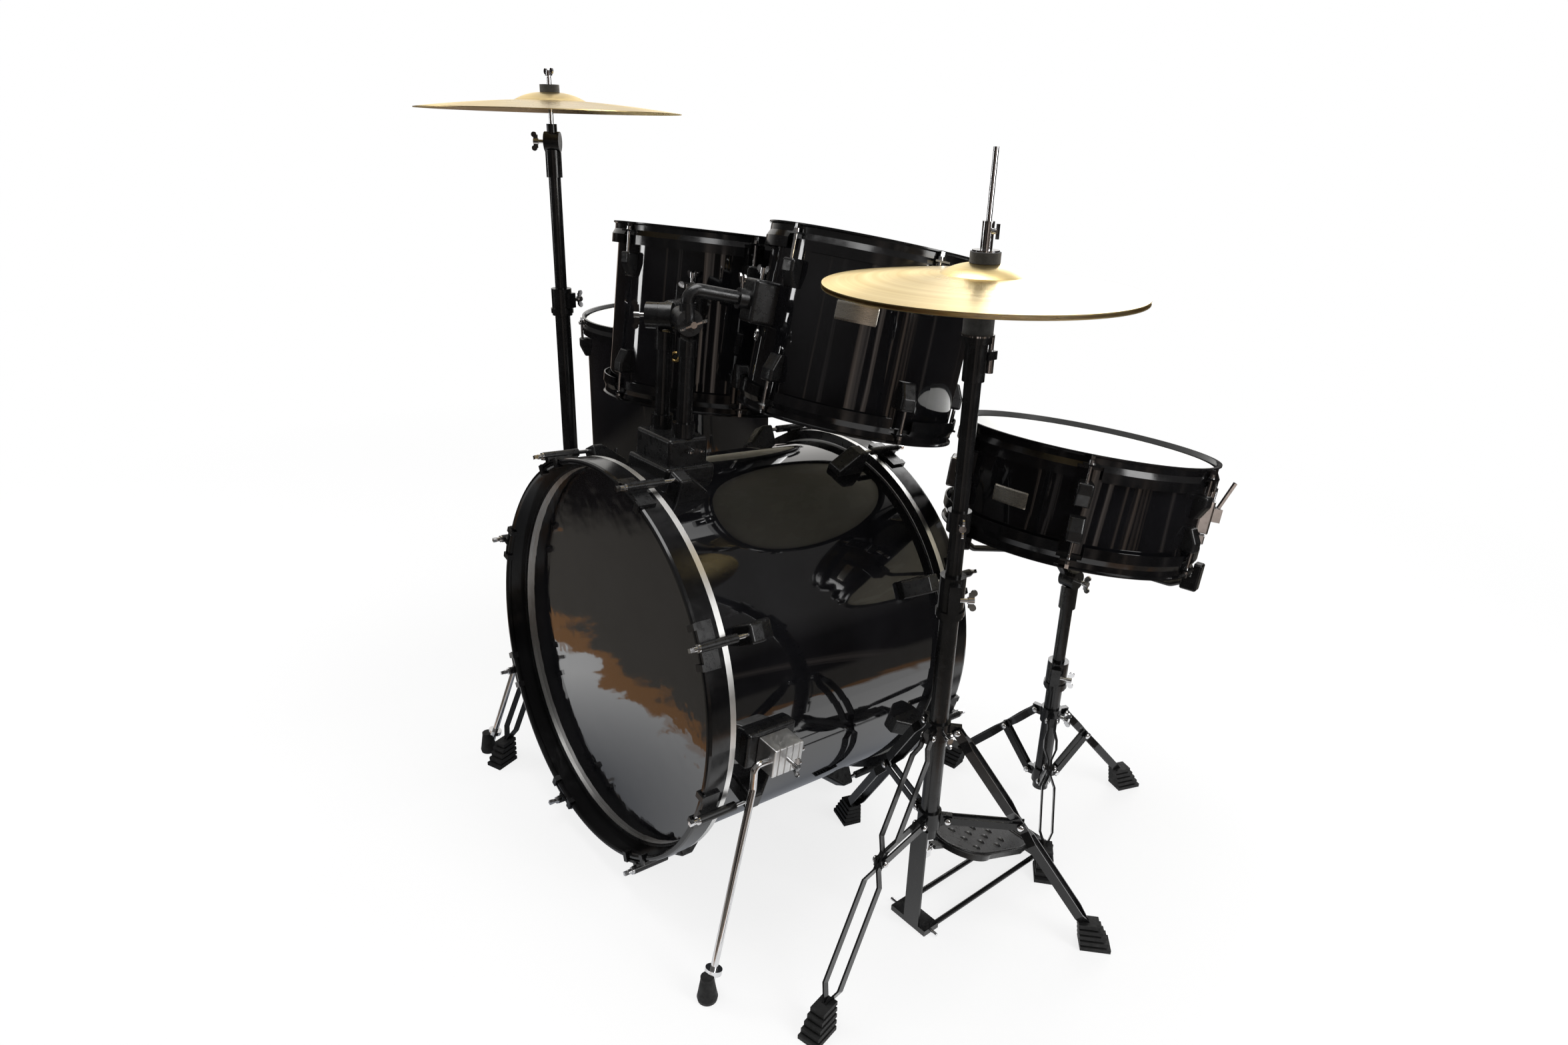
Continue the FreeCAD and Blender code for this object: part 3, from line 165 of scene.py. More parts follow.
def surface(name, dark, light, rough, patch, grain, depth, stretch=(1, 1, 1), **fixed):
    """Patchy colour and roughness under a fine grain; depth is the grain's height in metres."""
    t = Tree(name)
    place = t.vector("MULTIPLY", t.place, stretch)
    patches = t.noise(place, patch, 5, 0.6)
    smears = t.noise(place, patch * 4.3, 3, 0.6)
    fine = t.noise(place, grain, 2, 0.6)
    t.principled(t.mix(t.span(patches, 0, 1), dark, light), t.span(smears, *rough),
                 t.bump(fine, depth), **fixed)
    return t.material


def wrap(name, axis_stretch):
    """Gloss black wrap: a hard deep film with long soft waves along the drum's axis and faint hazing."""
    t = Tree(name)
    waves = t.noise(t.vector("MULTIPLY", t.place, axis_stretch), 14, 2, 0.45)
    peel = t.noise(t.place, 420, 1, 0.4)
    haze = t.noise(t.place, 9, 5, 0.65)
    normal = t.bump(peel, 0.000004, t.bump(waves, 0.0011))
    t.principled(t.mix(t.span(haze, 0, 1), (0.0025, 0.0025, 0.003), (0.006, 0.006, 0.007)),
                 t.span(haze, 0.03, 0.075), normal, Specular_IOR_Level=0.5, Coat_Weight=0.7,
                 Coat_Roughness=0.02)
    return t.material


def lathed(name, centre, dark, light):
    """Lathed brass: fine uneven grooves round the cymbal's axis, with the brushed glow they give."""
    t = Tree(name)
    arm = t.vector("MULTIPLY", t.vector("SUBTRACT", t.place, tuple(centre)), (1, 1, 0))
    radius = t.vector("LENGTH", arm)
    grooves = t.noise(radius, 900, 3, 0.7, "1D")
    bands = t.noise(radius, 60, 4, 0.6, "1D")
    smudge = t.noise(t.place, 9, 3, 0.5)
    tone = t.math("ADD", t.math("MULTIPLY", bands, 0.8), t.math("MULTIPLY", smudge, 0.2))
    shader = t.principled(t.mix(t.span(tone, 0, 1, 0.35, 0.65), dark, light),
                          t.span(smudge, 0.24, 0.34), t.bump(grooves, 0.00007), Metallic=1.0)
    shader.inputs["Anisotropic"].default_value = 0.75
    spin = t.node("ShaderNodeVectorTransform", vector_type="VECTOR", convert_from="OBJECT",
                  convert_to="WORLD")
    t.link(t.vector("CROSS_PRODUCT", (0, 0, 1), arm), spin.inputs[0])
    t.link(spin.outputs[0], shader.inputs["Tangent"])
    return t.material


def film(name, edge_centre, axis, reach):
    """Gloss black drum head whose film ripples more and more towards the hoop."""
    t = Tree(name)
    arm = t.vector("SUBTRACT", t.place, tuple(edge_centre))
    radius = t.vector("LENGTH", t.vector("MULTIPLY", arm, axis))
    edge = t.span(radius, 0.12, 1, reach * 0.45, reach)
    ripple = t.math("MULTIPLY", t.noise(t.place, 11, 3, 0.5), edge)
    haze = t.noise(t.place, 13, 5, 0.65)
    normal = t.bump(t.noise(t.place, 500, 1), 0.000004, t.bump(ripple, 0.004))
    t.principled(t.mix(t.span(haze, 0, 1), (0.004, 0.004, 0.005), (0.008, 0.008, 0.009)),
                 t.span(haze, 0.02, 0.05), normal, Specular_IOR_Level=1.0, Coat_Weight=0.8,
                 Coat_Roughness=0.03)
    return t.material


# ---------------------------------------------------------------- materials
TOM_WRAP = wrap("tom_wrap", (1.0, 1.0, 0.06))
BASS_WRAP = wrap("bass_wrap", (1.0, 0.06, 1.0))
FRONT_FILM = film("front_film", HUB, (1, 0, 1), 0.28)
COATED = surface("coated_head", (0.74, 0.74, 0.72), (0.84, 0.84, 0.82), (0.5, 0.65), 7, 1500, 0.00006,
                 Subsurface_Weight=0.15, Subsurface_Radius=(0.004, 0.004, 0.003))
CHROME = surface("chrome", (0.62, 0.62, 0.63), (0.8, 0.8, 0.81), (0.06, 0.16), 35, 2600, 0.000004,
                 Metallic=1.0)
NICKEL = surface("brushed_nickel", (0.56, 0.53, 0.47), (0.78, 0.74, 0.66), (0.22, 0.36), 60, 900,
                 0.00001, (1, 1, 14), Metallic=1.0)
BRASS_FITTING = surface("brass_fitting", (0.66, 0.45, 0.16), (0.85, 0.62, 0.28), (0.2, 0.34), 70, 1800,
                        0.00001, Metallic=1.0)
POWDER = surface("powder_coat", (0.002, 0.002, 0.0023), (0.0055, 0.0055, 0.006), (0.1, 0.2), 16, 1900,
                 0.000004, Specular_IOR_Level=0.5)
PAINT = surface("stand_paint", (0.0028, 0.0028, 0.003), (0.0075, 0.0075, 0.008), (0.16, 0.3), 24, 1400,
                0.000005, Specular_IOR_Level=0.45)
MOULDING = surface("black_moulding", (0.003, 0.003, 0.0033), (0.009, 0.009, 0.0095), (0.22, 0.38), 30, 1700,
                   0.000012, Specular_IOR_Level=0.5)
CASTING = surface("satin_casting", (0.68, 0.68, 0.68), (0.86, 0.86, 0.85), (0.28, 0.42), 40, 1100, 0.00004,
                  Metallic=1.0)
RING = surface("rolled_aluminium", (0.84, 0.84, 0.82), (0.92, 0.91, 0.89), (0.3, 0.36), 8, 1500, 0.000002,
               Metallic=1.0)
# Pale tan on the clear resonant heads: the shell's wood seen through the film, and painted light coming through
# the drum.
RESONANT_WOOD_AND_PAINTED_LIGHT = surface("resonant_head_wood_and_painted_light", (0.68, 0.62, 0.47), (0.8, 0.74, 0.58), (0.2, 0.32), 5, 900, 0.00001)
RUBBER = surface("rubber", (0.004, 0.004, 0.004), (0.014, 0.014, 0.014), (0.55, 0.8), 45, 900, 0.00012,
                 Specular_IOR_Level=0.3)
FELT = surface("felt", (0.004, 0.004, 0.004), (0.018, 0.018, 0.017), (0.9, 1.0), 160, 1300, 0.0006,
               Sheen_Weight=0.3, Sheen_Roughness=0.5)
HAT_BRASS = lathed("hihat_brass", HAT, (0.78, 0.58, 0.24), (0.94, 0.76, 0.4))
CRASH_BRASS = lathed("crash_brass", CRASH, (0.76, 0.56, 0.23), (0.92, 0.74, 0.4))


# ---------------------------------------------------------------- CAD nodes
def clothe(node, material):
    data = NODES[node].data
    data.materials.clear()
    data.materials.append(material)


def islands(data):
    """Polygons grouped by the solid they belong to: (polygon indices, volume in cubic centimetres)."""
    place = np.zeros(len(data.vertices) * 3)
    data.vertices.foreach_get("co", place)
    place = place.reshape(-1, 3)
    spots, same = np.unique(np.round(place, 6), axis=0, return_inverse=True)
    corners = np.array([face.vertices[:] for face in data.polygons])
    shared = same.reshape(-1)[corners]
    begin, end = shared.reshape(-1), shared[:, [1, 2, 0]].reshape(-1)
    key = np.minimum(begin, end) * len(spots) + np.maximum(begin, end)
    order = np.argsort(key, kind="stable")
    starts = np.flatnonzero(np.r_[True, np.diff(key[order]) > 0])
    counts = np.diff(np.r_[starts, len(key)])
    pairs = [(order[start] // 3, order[start + 1] // 3) for start in starts[counts == 2]]
    normals = np.cross(spots[shared[:, 1]] - spots[shared[:, 0]], spots[shared[:, 2]] - spots[shared[:, 0]])
    for start, count in zip(starts[counts > 2], counts[counts > 2]):
        sides = order[start:start + count]
        low, high = sorted((begin[sides[0]], end[sides[0]]))
        along = Vector(spots[high] - spots[low]).normalized()
        pairs += wedges(along, [(int(side) // 3, begin[side] < end[side]) for side in sides], normals)
    one, two = np.array(pairs).T
    label = np.arange(len(corners))
    while True:
        least = np.minimum(label[one], label[two])
        new = label.copy()
        np.minimum.at(new, one, least)
        np.minimum.at(new, two, least)
        new = new[new]
        if (new == label).all():
            break
        label = new
    groups = []
    for which in np.unique(label):
        rows = np.flatnonzero(label == which)
        a, b, c = (place[corners[rows, corner]] for corner in range(3))
        volume = np.einsum("ij,ij->i", a, np.cross(b, c)).sum() / 6
        groups.append((rows, abs(volume) * 1e6))
    return groups


def wedges(along, sides, normals):
    """Pairs of faces that bound one solid each where touching solids share an edge."""
    opening, closing = [], []
    zero = None
    for face, forward in sides:
        normal = Vector(normals[face]).normalized()
        into = normal.cross(along) * (1 if forward else -1)
        if zero is None:
            zero, quarter = into, along.cross(into)
        (closing if forward else opening).append((math.atan2(into.dot(quarter), into.dot(zero)), face))
    found = []
    for turn, face in opening:
        if closing:
            gaps = [(later - turn - TOUCH) % (2 * math.pi) for later, _ in closing]
            found.append((face, closing[gaps.index(min(gaps))][1]))
    return found


TOUCH = 0.02                               # radians between two faces taken as lying on each other


def clothe_solids(node, *bands):
    """Each band is (largest volume in cubic centimetres, material); a solid takes the first it fits."""
    data = NODES[node].data
    data.materials.clear()
    for limit, material in bands:
        data.materials.append(material)
    for rows, volume in islands(data):
        band = next(index for index, (limit, material) in enumerate(bands) if volume < limit)
        for row in rows:
            data.polygons[int(row)].material_index = band


def axis_of(node):
    """Upward axis of a drum, from the flat end faces of its shell."""
    faces = [face for face in NODES[node].data.polygons if face.normal.z > 0.9]
    return sum((face.normal * face.area for face in faces), Vector()).normalized()


def radius_of(node):
    axis, centre = axis_of(node), middle(node)
    arms = [vertex.co - centre for vertex in NODES[node].data.vertices]
    return max((arm - axis * arm.dot(axis)).length for arm in arms)


def clothe_heads(drum):
    """White coating on the flat of the batter head, clear film below painted pale tan for the wood inside and for
    light coming through the drum, and both collars black.
    """
    shell = drum + "_shell"
    axis, centre, reach = axis_of(shell), middle(shell), radius_of(shell) + 0.0012
    data = NODES[drum + "_heads"].data
    data.materials.clear()
    for material in (COATED, RESONANT_WOOD_AND_PAINTED_LIGHT, MOULDING):
        data.materials.append(material)
    for face in data.polygons:
        arm = face.center - centre
        flat = abs(face.normal.dot(axis)) > 0.9 and (arm - axis * arm.dot(axis)).length < reach
        face.material_index = (0 if arm.dot(axis) > 0 else 1) if flat else 2


def clothe_ends(node, round_material, flat_material):
    """One material on a ring's round faces and another on its flat ends, which lie across the bass drum."""
    data = NODES[node].data
    data.materials.clear()
    data.materials.append(round_material)
    data.materials.append(flat_material)
    for face in data.polygons:
        face.material_index = int(abs(face.normal.y) > 0.9)


ANY = 1e9
for drum in ("tom_high", "tom_mid", "floor_tom", "snare"):
    clothe(drum + "_shell", TOM_WRAP)
    clothe_heads(drum)
    clothe(drum + "_hoops", POWDER)
    clothe(drum + "_rods", CHROME)
    clothe_solids(drum + "_lugs", (2, CHROME), (ANY, MOULDING))
clothe("bass_shell", BASS_WRAP)
clothe("bass_front_head", FRONT_FILM)
clothe("bass_batter_head", COATED)
clothe_ends("bass_flesh_hoops", RING, MOULDING)
clothe("bass_hoops", POWDER)
clothe("bass_claws", MOULDING)
clothe("bass_rods", CHROME)
clothe("bass_lugs", MOULDING)
clothe_solids("spur_brackets", (3, CHROME), (64, MOULDING), (ANY, CASTING))
for side in ("right", "left"):
    clothe_solids("spur_" + side, (3, CHROME), (20, RUBBER), (ANY, CHROME))
clothe_solids("tom_mount_base", (3, CHROME), (ANY, MOULDING))
for name in ("high", "mid"):
    clothe_solids("tom_post_" + name, (3, CHROME), (ANY, PAINT))
    clothe_solids("tom_arm_" + name, (3, CHROME), (ANY, MOULDING))
clothe_solids("floor_tom_legs", (20, RUBBER), (ANY, CHROME))
for stand in ("hihat", "crash", "snare_stand"):
    clothe_solids(stand + "_tube", (3, CHROME), (ANY, PAINT))
    clothe_solids(stand + "_legs", (3, CHROME), (ANY, PAINT))
    clothe(stand + "_feet", RUBBER)
clothe_solids("hihat_upper", (2.5, CHROME), (12, PAINT), (20, FELT), (ANY, PAINT))
clothe("hihat_bottom_cymbal", HAT_BRASS)
clothe("hihat_top_cymbal", HAT_BRASS)
clothe_solids("hihat_rod", (6, CHROME), (12, FELT), (ANY, CHROME))
clothe_solids("pedal_frame", (0.6, CHROME), (12, PAINT), (ANY, PAINT))
clothe("pedal_footboard", MOULDING)
clothe_solids("crash_upper", (3, CHROME), (ANY, PAINT))
clothe_solids("crash_tilter", (4, CHROME), (4.87, FELT), (6, CHROME), (8, FELT), (ANY, PAINT))
clothe("crash_cymbal", CRASH_BRASS)
clothe("snare_strainer", CHROME)
clothe("snare_lever", CHROME)
clothe("snare_wires", CHROME)
clothe_solids("snare_stand_upper", (3, CHROME), (ANY, PAINT))
clothe("snare_basket", PAINT)


# ---------------------------------------------------------------- added pieces
def shaped(name, mesh, material, body, place=Matrix(), smooth_below=40.0):
    """Finishes a bmesh as a piece that rides on a body; edges sharper than smooth_below degrees stay hard."""
    for face in mesh.faces:
        face.smooth = True
    for edge in mesh.edges:
        edge.smooth = len(edge.link_faces) == 2 and edge.calc_face_angle(0) < math.radians(smooth_below)
    mesh.transform(place)
    bmesh.ops.recalc_face_normals(mesh, faces=mesh.faces)
    data = bpy.data.meshes.new(name)
    mesh.to_mesh(data)
    mesh.free()
    data.materials.append(material)
    piece = bpy.data.objects.new(name, data)
    bpy.context.scene.collection.objects.link(piece)
    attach(piece, body)
    return piece


def lathe(mesh, profile, around=32, place=Matrix()):
    """Adds a closed solid of revolution about local Z, from (radius, height) points, to a bmesh."""
    rings = []
    for radius, height in profile:
        if radius == 0:
            rings.append([mesh.verts.new(place @ Vector((0, 0, height)))])
            continue
        turns = [2 * math.pi * step / around for step in range(around)]
        ring = [Vector((radius * math.cos(turn), radius * math.sin(turn), height)) for turn in turns]
        rings.append([mesh.verts.new(place @ point) for point in ring])
    closed = rings[0:1] if len(rings[0]) > 1 and len(rings[-1]) > 1 else []
    for first, second in zip(rings, rings[1:] + closed):
        for step in range(around):
            after = (step + 1) % around
            corners = [first[step % len(first)], first[after % len(first)],
                       second[after % len(second)], second[step % len(second)]]
            unique = list(dict.fromkeys(corners))
            if len(unique) > 2:
                mesh.faces.new(unique)


def on_drum(drum, heading, drop, out=0.0):
    """Frame on a drum's skin: X up along the axis, Z outwards; drop is below the shell's top edge."""
    shell = drum + "_shell"
    axis, reach = axis_of(shell), radius_of(shell)
    centre = middle(shell)
    half = max((vertex.co - centre).dot(axis) for vertex in NODES[shell].data.vertices)
    ahead = (Vector((1, 0, 0)) - axis * axis.x).normalized()
    turn = math.radians(heading)
    arm = ahead * math.cos(turn) + axis.cross(ahead) * math.sin(turn)
    side = arm.cross(axis)
    spot = centre + axis * (half - drop) + arm * (reach + out)
    return Matrix(((axis.x, side.x, arm.x, spot.x), (axis.y, side.y, arm.y, spot.y),
                   (axis.z, side.z, arm.z, spot.z), (0, 0, 0, 1)))


def badge(drum, body, heading, drop, width, height, lean=0.0):
    """Blank metal plate bent round a drum's shell, with rounded corners and a raised border."""
    mesh = bmesh.new()
    reach = radius_of(drum + "_shell")
    columns, rows = 40, 16
    border, corner, thick = 0.0013, 0.0016, 0.0009
    grid = []
    for row in range(rows + 1):
        line = []
        for column in range(columns + 1):
            across = (column / columns - 0.5) * width
            along = (row / rows - 0.5) * height
            edge = min(width / 2 - abs(across), height / 2 - abs(along))
            lift = thick * min(1.0, edge / 0.0006) + (0.0004 if edge < border else 0.0)
            over = Vector((max(0.0, abs(across) - width / 2 + corner),
                           max(0.0, abs(along) - height / 2 + corner)))
            if over.length > corner:
                lift = 0.0
                shrink = 1 - corner / over.length
                across -= math.copysign(over.x * shrink, across)
                along -= math.copysign(over.y * shrink, along)
            turned = Vector((along, across)) @ Matrix.Rotation(math.radians(lean), 2)
            bend = turned.y / reach
            line.append(mesh.verts.new((turned.x, (reach + lift) * math.sin(bend),
                                        (reach + lift) * math.cos(bend) - reach)))
        grid.append(line)
    for low, high in zip(grid, grid[1:]):
        for column in range(columns):
            mesh.faces.new((low[column], low[column + 1], high[column + 1], high[column]))
    shaped(drum + "_badge", mesh, NICKEL, body, on_drum(drum, heading, drop))


def vent(drum, body, heading, drop, material):
    """Flanged grommet round a drum's air hole, with a dark disc inside it as painted shade for the hole."""
    mesh = bmesh.new()
    lathe(mesh, [(0.0046, 0.0004), (0.0046, 0.0016), (0.0056, 0.0026), (0.0072, 0.0026), (0.0086, 0.0014),
                 (0.0092, -0.0004), (0.006, -0.0004)], 40)
    place = on_drum(drum, heading, drop)
    shaped(drum + "_vent", mesh, material, body, place)
    # Dark disc in the grommet: painted shade standing in for the hole into the drum.
    hole = bmesh.new()
    lathe(hole, [(0, 0.0007), (0.0048, 0.0007), (0.0048, -0.0004), (0, -0.0004)], 32)
    shaped(drum + "_vent_painted_shade", hole, RUBBER, body, place)


badge("tom_high", "tom_high", -49.4, 0.0896, 0.057, 0.025)
badge("snare", "snare", -86.5, 0.0745, 0.055, 0.023)
vent("tom_mid", "tom_mid", -53.4, 0.19, BRASS_FITTING)
vent("tom_high", "tom_high", -120.0, 0.15, CHROME)
vent("floor_tom", "floor_tom", 150.0, 0.2, CHROME)
vent("snare", "snare", 125.0, 0.07, CHROME)


def rivet_heads(stand, foot_r, first, collar_z, brace_z, knee_share):
    """Domed chrome heads on both ends of every leg and brace pin of a tripod."""
    mesh = bmesh.new()
    rubber = [vertex.co for vertex in NODES[stand + "_feet"].data.vertices]
    hub = sum(rubber, Vector()) / len(rubber)      # three equal feet stand round it
    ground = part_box(stand + "_feet")[0].z
    start = Vector((EAR_PIN_OUT, 0, collar_z))
    end = Vector((foot_r, 0, FOOT_PIN_Z))
    knee = start + (end - start) * knee_share
    low = Vector((EAR_PIN_OUT, 0, brace_z))
    for leg in range(3):
        turn = (Matrix.Translation((hub.x, hub.y, ground))
                @ Matrix.Rotation(math.radians(first + 120 * leg), 4, "Z"))
        for pin in (start, knee, low):
            for side in (-1, 1):
                face = Matrix.Translation(pin + Vector((0, side * 0.0078, 0)))
                place = turn @ face @ Matrix.Rotation(math.radians(-90 * side), 4, "X")
                lathe(mesh, RIVET, 20, place)
    shaped(stand + "_rivets", mesh, CHROME, BODY[stand + "_legs"])


EAR_PIN_OUT = 0.025                        # a collar's leg pins, from the stand's axis
FOOT_PIN_Z = 0.0273                        # lower end of a leg, above the floor
RIVET = [(0, -0.0006), (0.0046, -0.0006), (0.0048, 0.0006), (0.0042, 0.0017), (0.0028, 0.0026),
         (0.0012, 0.003), (0, 0.0031)]
rivet_heads("hihat", 0.237, -77.7, 0.33, 0.187, 0.46)
rivet_heads("crash", 0.213, -69.4, 0.31, 0.175, 0.46)
rivet_heads("snare_stand", 0.165, -50.0, 0.18, 0.062, 0.36)


def swept(mesh, points, radius, closed=False, sides=10):
    """Adds a round tube along points to a bmesh, closed on itself or capped at its ends."""
    count = len(points)
    rings = []
    for index, point in enumerate(points):
        before = points[index - 1] if closed or index else points[0]
        after = points[(index + 1) % count] if closed or index + 1 < count else points[-1]
        along = (after - before).normalized()
        side = along.orthogonal().normalized() if not rings else (side - along * side.dot(along)).normalized()
        over = along.cross(side)
        turns = [2 * math.pi * step / sides for step in range(sides)]
        rings.append([mesh.verts.new(point + (side * math.cos(turn) + over * math.sin(turn)) * radius)
                      for turn in turns])
    for first, second in zip(rings, rings[1:] + (rings[:1] if closed else [])):
        for step in range(sides):
            after = (step + 1) % sides
            mesh.faces.new((first[step], first[after], second[after], second[step]))
    if not closed:
        mesh.faces.new(rings[0])
        mesh.faces.new(rings[-1])


def footboard_rim():
    """Raised rounded border on the footboard, and its ribbed heel."""
    heel = Vector(JOINTS["pedal_press"]["pos_m"])
    along = Vector((0, -0.9204, 0.391))
    over = Vector((0, 0.391, 0.9204))
    place = Matrix(((-1, along.x, over.x, heel.x), (0, along.y, over.y, heel.y),
                    (0, along.z, over.z, heel.z), (0, 0, 0, 1)))
    half = [(0.006, 0.0195), (0.03, 0.0242), (0.055, 0.0325), (0.078, 0.0392), (0.12, 0.0408), (0.16, 0.0418)]
    nose = [(0.17 + 0.0575 * math.sin(turn), 0.0418 * math.cos(turn))
            for turn in (math.pi / 2 * step / 10 for step in range(1, 10))]
    side = half + nose
    outline = [Vector((w, u, 0.01)) for u, w in side] + [Vector((-w, u, 0.01)) for u, w in reversed(side)]
    mesh = bmesh.new()
    swept(mesh, outline, 0.0022, True)
    for u in (0.016, 0.024, 0.032, 0.04):
        reach = 0.017 + u * 0.12
        swept(mesh, [Vector((-reach, u, 0.0098)), Vector((reach, u, 0.0098))], 0.0012)
    shaped("footboard_rim", mesh, MOULDING, "pedal_board", place)


def chain(name, start, end, count, body):
    """Roller chain of count links between two points."""
    mesh = bmesh.new()
    run = end - start
    pitch = run.length / count
    along = run.normalized()
    side = along.cross(Vector((0, 0, 1))).normalized()
    over = side.cross(along)
    for index in range(count):
        gap = 0.0028 if index % 2 else 0.0019
        for way in (-1, 1):
            ring = []
            for step in range(24):
                turn = 2 * math.pi * step / 24
                bow = 0.0026 + 0.0007 * abs(math.cos(turn))
                end_pin = index + (1 if math.cos(turn) >= 0 else 0)
                reach = end_pin * pitch + bow * math.cos(turn)
                ring.append(start + along * reach + over * bow * math.sin(turn) + side * way * gap)
            near = [mesh.verts.new(point) for point in ring]
            far = [mesh.verts.new(point + side * way * 0.0008) for point in ring]
            mesh.faces.new(near)
            mesh.faces.new(far)
            for step in range(24):
                after = (step + 1) % 24
                mesh.faces.new((near[step], near[after], far[after], far[step]))
    for index in range(count + 1):
        middle_of_pin = start + along * pitch * index
        swept(mesh, [middle_of_pin - side * 0.0042, middle_of_pin + side * 0.0042], 0.0013)
    shaped(name, mesh, CHROME, body)


footboard_rim()
toe_low, toe_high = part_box("pedal_footboard")
rod_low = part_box("hihat_rod")[0]
chain_end = Vector((HAT.x - 0.002, HAT.y + 0.006, rod_low.z + 0.006))
chain_start = Vector(((toe_low.x + toe_high.x) / 2, toe_low.y + 0.003, toe_high.z - 0.003))
chain("pedal_chain", chain_start, chain_end, 2, "hihat_rod")


# ---------------------------------------------------------------- stage
# The floor and the world are plain and pale to the camera.  Glossy rays see a painted room instead:
# shaded paper, its edge, a wooden floor, haze and streaks.
def streaks(t, way):
    """Warm grey and dark upright bands of a studio room, by the compass direction of way."""
    flat = t.vector("NORMALIZE", t.vector("MULTIPLY", way, (1, 1, 0)))
    fade = t.span(t.noise(flat, 1.9, 2, 0.5), 0.72, 1.08)
    bands = t.math("MULTIPLY", t.noise(flat, 5.5, 4, 0.62), fade)
    tint = t.noise(flat, 2.3, 1, 0.4)
    pale = t.mix(t.span(tint, 0, 1), ROOM_WARM, ROOM_GREY)
    return t.mix(t.span(bands, 0, 1, 0.5, 0.62), ROOM_DARK, pale)


ROOM_DARK = (0.012, 0.01, 0.009)
ROOM_WARM = (0.85, 0.6, 0.42)
ROOM_GREY = (0.75, 0.76, 0.8)
ROOM_BOARD = (0.42, 0.22, 0.1)             # wooden floor beyond the paper
ROOM_HAZE = (0.13, 0.12, 0.105)
PAPER_END = (0.99, 1.0)
PAPER_SHADE = (0.22, 0.23, 0.25)           # the paper in the drums' own shade
SHADE_END = (0.36, 0.62)
PAPER_FRONT = (0, -0.65, 0)                # and a point on its straight edge in front of the bass drum
PAPER_WAY = (0, -1, 0)
BOARD_END = (1.05, 1.07)
HAZE_END = (1.6, 1.9)
WHITE_NEAR = 1.3                           # the floor's own shading fades out between these two
WHITE_FAR = 2.6

floor_tree = Tree("studio_floor")
paper = floor_tree.principled((0.8, 0.8, 0.8, 1), 0.7, floor_tree.bump(
    floor_tree.noise(floor_tree.place, 300), 0.0001))
away = floor_tree.vector("LENGTH", floor_tree.place)
ragged = floor_tree.span(floor_tree.noise(floor_tree.place, 7, 4, 0.6), -0.06, 0.06)
front = floor_tree.vector("SUBTRACT", floor_tree.place, PAPER_FRONT)
front = floor_tree.vector("DOT_PRODUCT", front, PAPER_WAY)
torn = floor_tree.math("ADD", floor_tree.math("MAXIMUM", away, floor_tree.math("ADD", front, 1)), ragged)
path = floor_tree.node("ShaderNodeLightPath")
glow = floor_tree.node("ShaderNodeEmission")
beside = floor_tree.vector("LENGTH", floor_tree.vector("MULTIPLY", floor_tree.place, (1, 0.8, 0)))
sheet = floor_tree.mix(floor_tree.span(beside, 0, 1, *SHADE_END), PAPER_SHADE, (1, 1, 1))
ground = floor_tree.mix(floor_tree.span(torn, 0, 1, *PAPER_END), sheet, ROOM_BOARD)
ground = floor_tree.mix(floor_tree.span(torn, 0, 1, *BOARD_END), ground, ROOM_HAZE)
ground = floor_tree.mix(floor_tree.span(away, 0, 1, *HAZE_END), ground, streaks(floor_tree, floor_tree.place))
glossy = path.outputs["Is Glossy Ray"]
floor_tree.link(floor_tree.mix(glossy, (1, 1, 1), ground), glow.inputs["Color"])
whole = floor_tree.math("MAXIMUM", glossy, path.outputs["Is Transmission Ray"])
faded = floor_tree.span(away, 0.8, 1, WHITE_NEAR, WHITE_FAR)
seen = floor_tree.math("MULTIPLY", path.outputs["Is Camera Ray"], faded)
blend = floor_tree.node("ShaderNodeMixShader")
floor_tree.link(floor_tree.math("MAXIMUM", whole, seen), blend.inputs[0])
floor_tree.link(paper.outputs[0], blend.inputs[1])
floor_tree.link(glow.outputs[0], blend.inputs[2])
floor_tree.link(blend.outputs[0], floor_tree.out.inputs["Surface"])
bpy.ops.mesh.primitive_plane_add(size=60, location=(0, 0, -0.0005))
floor = bpy.context.object
floor.name = "studio_floor"
floor.data.materials.append(floor_tree.material)

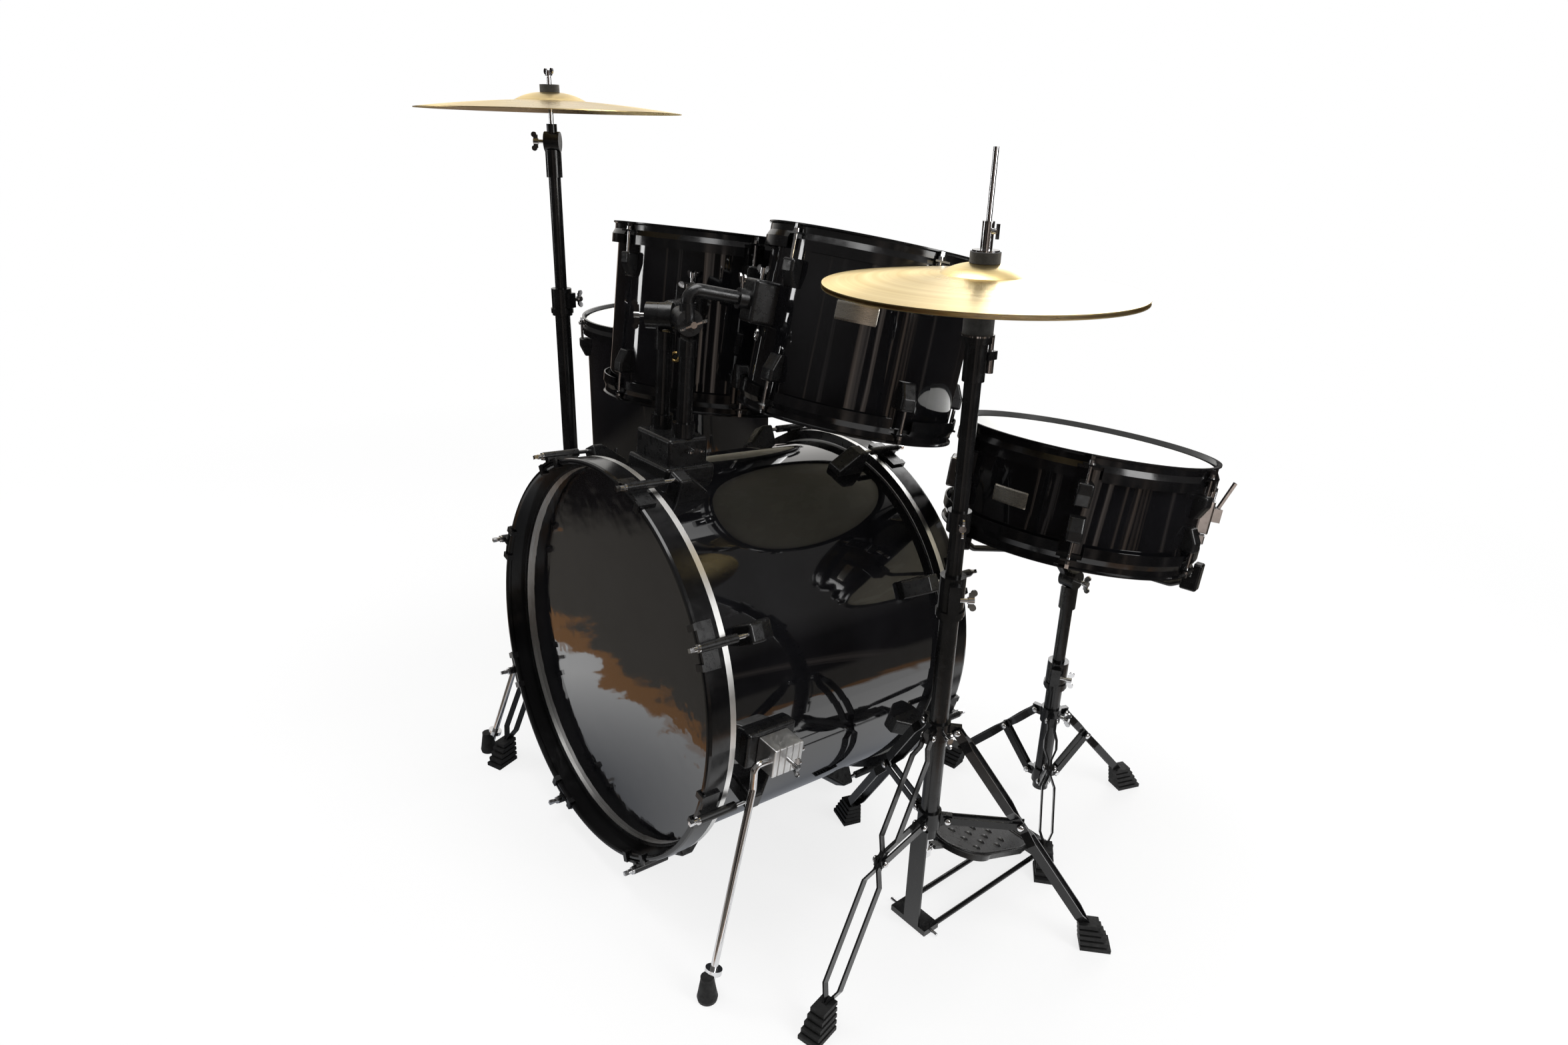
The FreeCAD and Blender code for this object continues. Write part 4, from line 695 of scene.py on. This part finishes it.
ROOM_DIFFUSE = 0.55
ROOM_TOP = (0.16, 0.155, 0.15)
ROOM_BACK = (0.95, 0.93, 0.9)
BACK_WAY = (-0.714, 0.594, 0.372)
world = bpy.data.worlds.new("studio")
bpy.context.scene.world = world
world.use_nodes = True
sky = Tree.__new__(Tree)
sky.tree = world.node_tree
sky.tree.nodes.clear()
sky_out = sky.node("ShaderNodeOutputWorld")
sky_glow = sky.node("ShaderNodeBackground")
sky_way = sky.node("ShaderNodeTexCoord").outputs["Generated"]
sky_split = sky.node("ShaderNodeSeparateXYZ")
sky.link(sky_way, sky_split.inputs[0])
sky_path = sky.node("ShaderNodeLightPath")
upper = sky.span(sky_split.outputs["Z"], 0, 1, 0.06, 0.3)
room = sky.mix(upper, streaks(sky, sky_way), ROOM_TOP)
apart = sky.vector("LENGTH", sky.vector("SUBTRACT", sky_way, BACK_WAY))
room = sky.mix(sky.span(apart, 1, 0, 0.25, 0.85), room, ROOM_BACK)
lit = sky.mix(sky_path.outputs["Is Diffuse Ray"], room, (ROOM_DIFFUSE, ROOM_DIFFUSE, ROOM_DIFFUSE))
shown = sky.math("MAXIMUM", sky_path.outputs["Is Camera Ray"], sky_path.outputs["Is Transmission Ray"])
sky.link(sky.mix(shown, lit, (1, 1, 1)), sky_glow.inputs["Color"])
sky.link(sky_glow.outputs[0], sky_out.inputs["Surface"])


def softbox(name, place, aim, width, height, watts, mirrored=True):
    data = bpy.data.lights.new(name, "AREA")
    data.shape = "RECTANGLE"
    data.size = width
    data.size_y = height
    data.energy = watts
    lamp = bpy.data.objects.new(name, data)
    lamp.location = place
    lamp.rotation_mode = "QUATERNION"
    lamp.rotation_quaternion = (Vector(aim) - Vector(place)).to_track_quat("-Z", "Y")
    lamp.visible_glossy = mirrored
    bpy.context.scene.collection.objects.link(lamp)


softbox("overhead", (0.1, -0.2, 2.7), (0.1, 0, 0.5), 1.8, 1.4, 42)
softbox("left", (-2.3, -1.9, 1.5), (0, 0, 0.6), 0.7, 2.0, 34, False)
softbox("strip", (-1.9, -2.4, 1.1), (0, 0, 0.7), 0.3, 0.9, 6)
softbox("right", (2.6, 0.4, 1.7), (0, 0, 0.6), 0.8, 2.0, 40)
softbox("back", (-0.6, 2.6, 1.9), (0, 0, 0.6), 1.6, 1.2, 30)
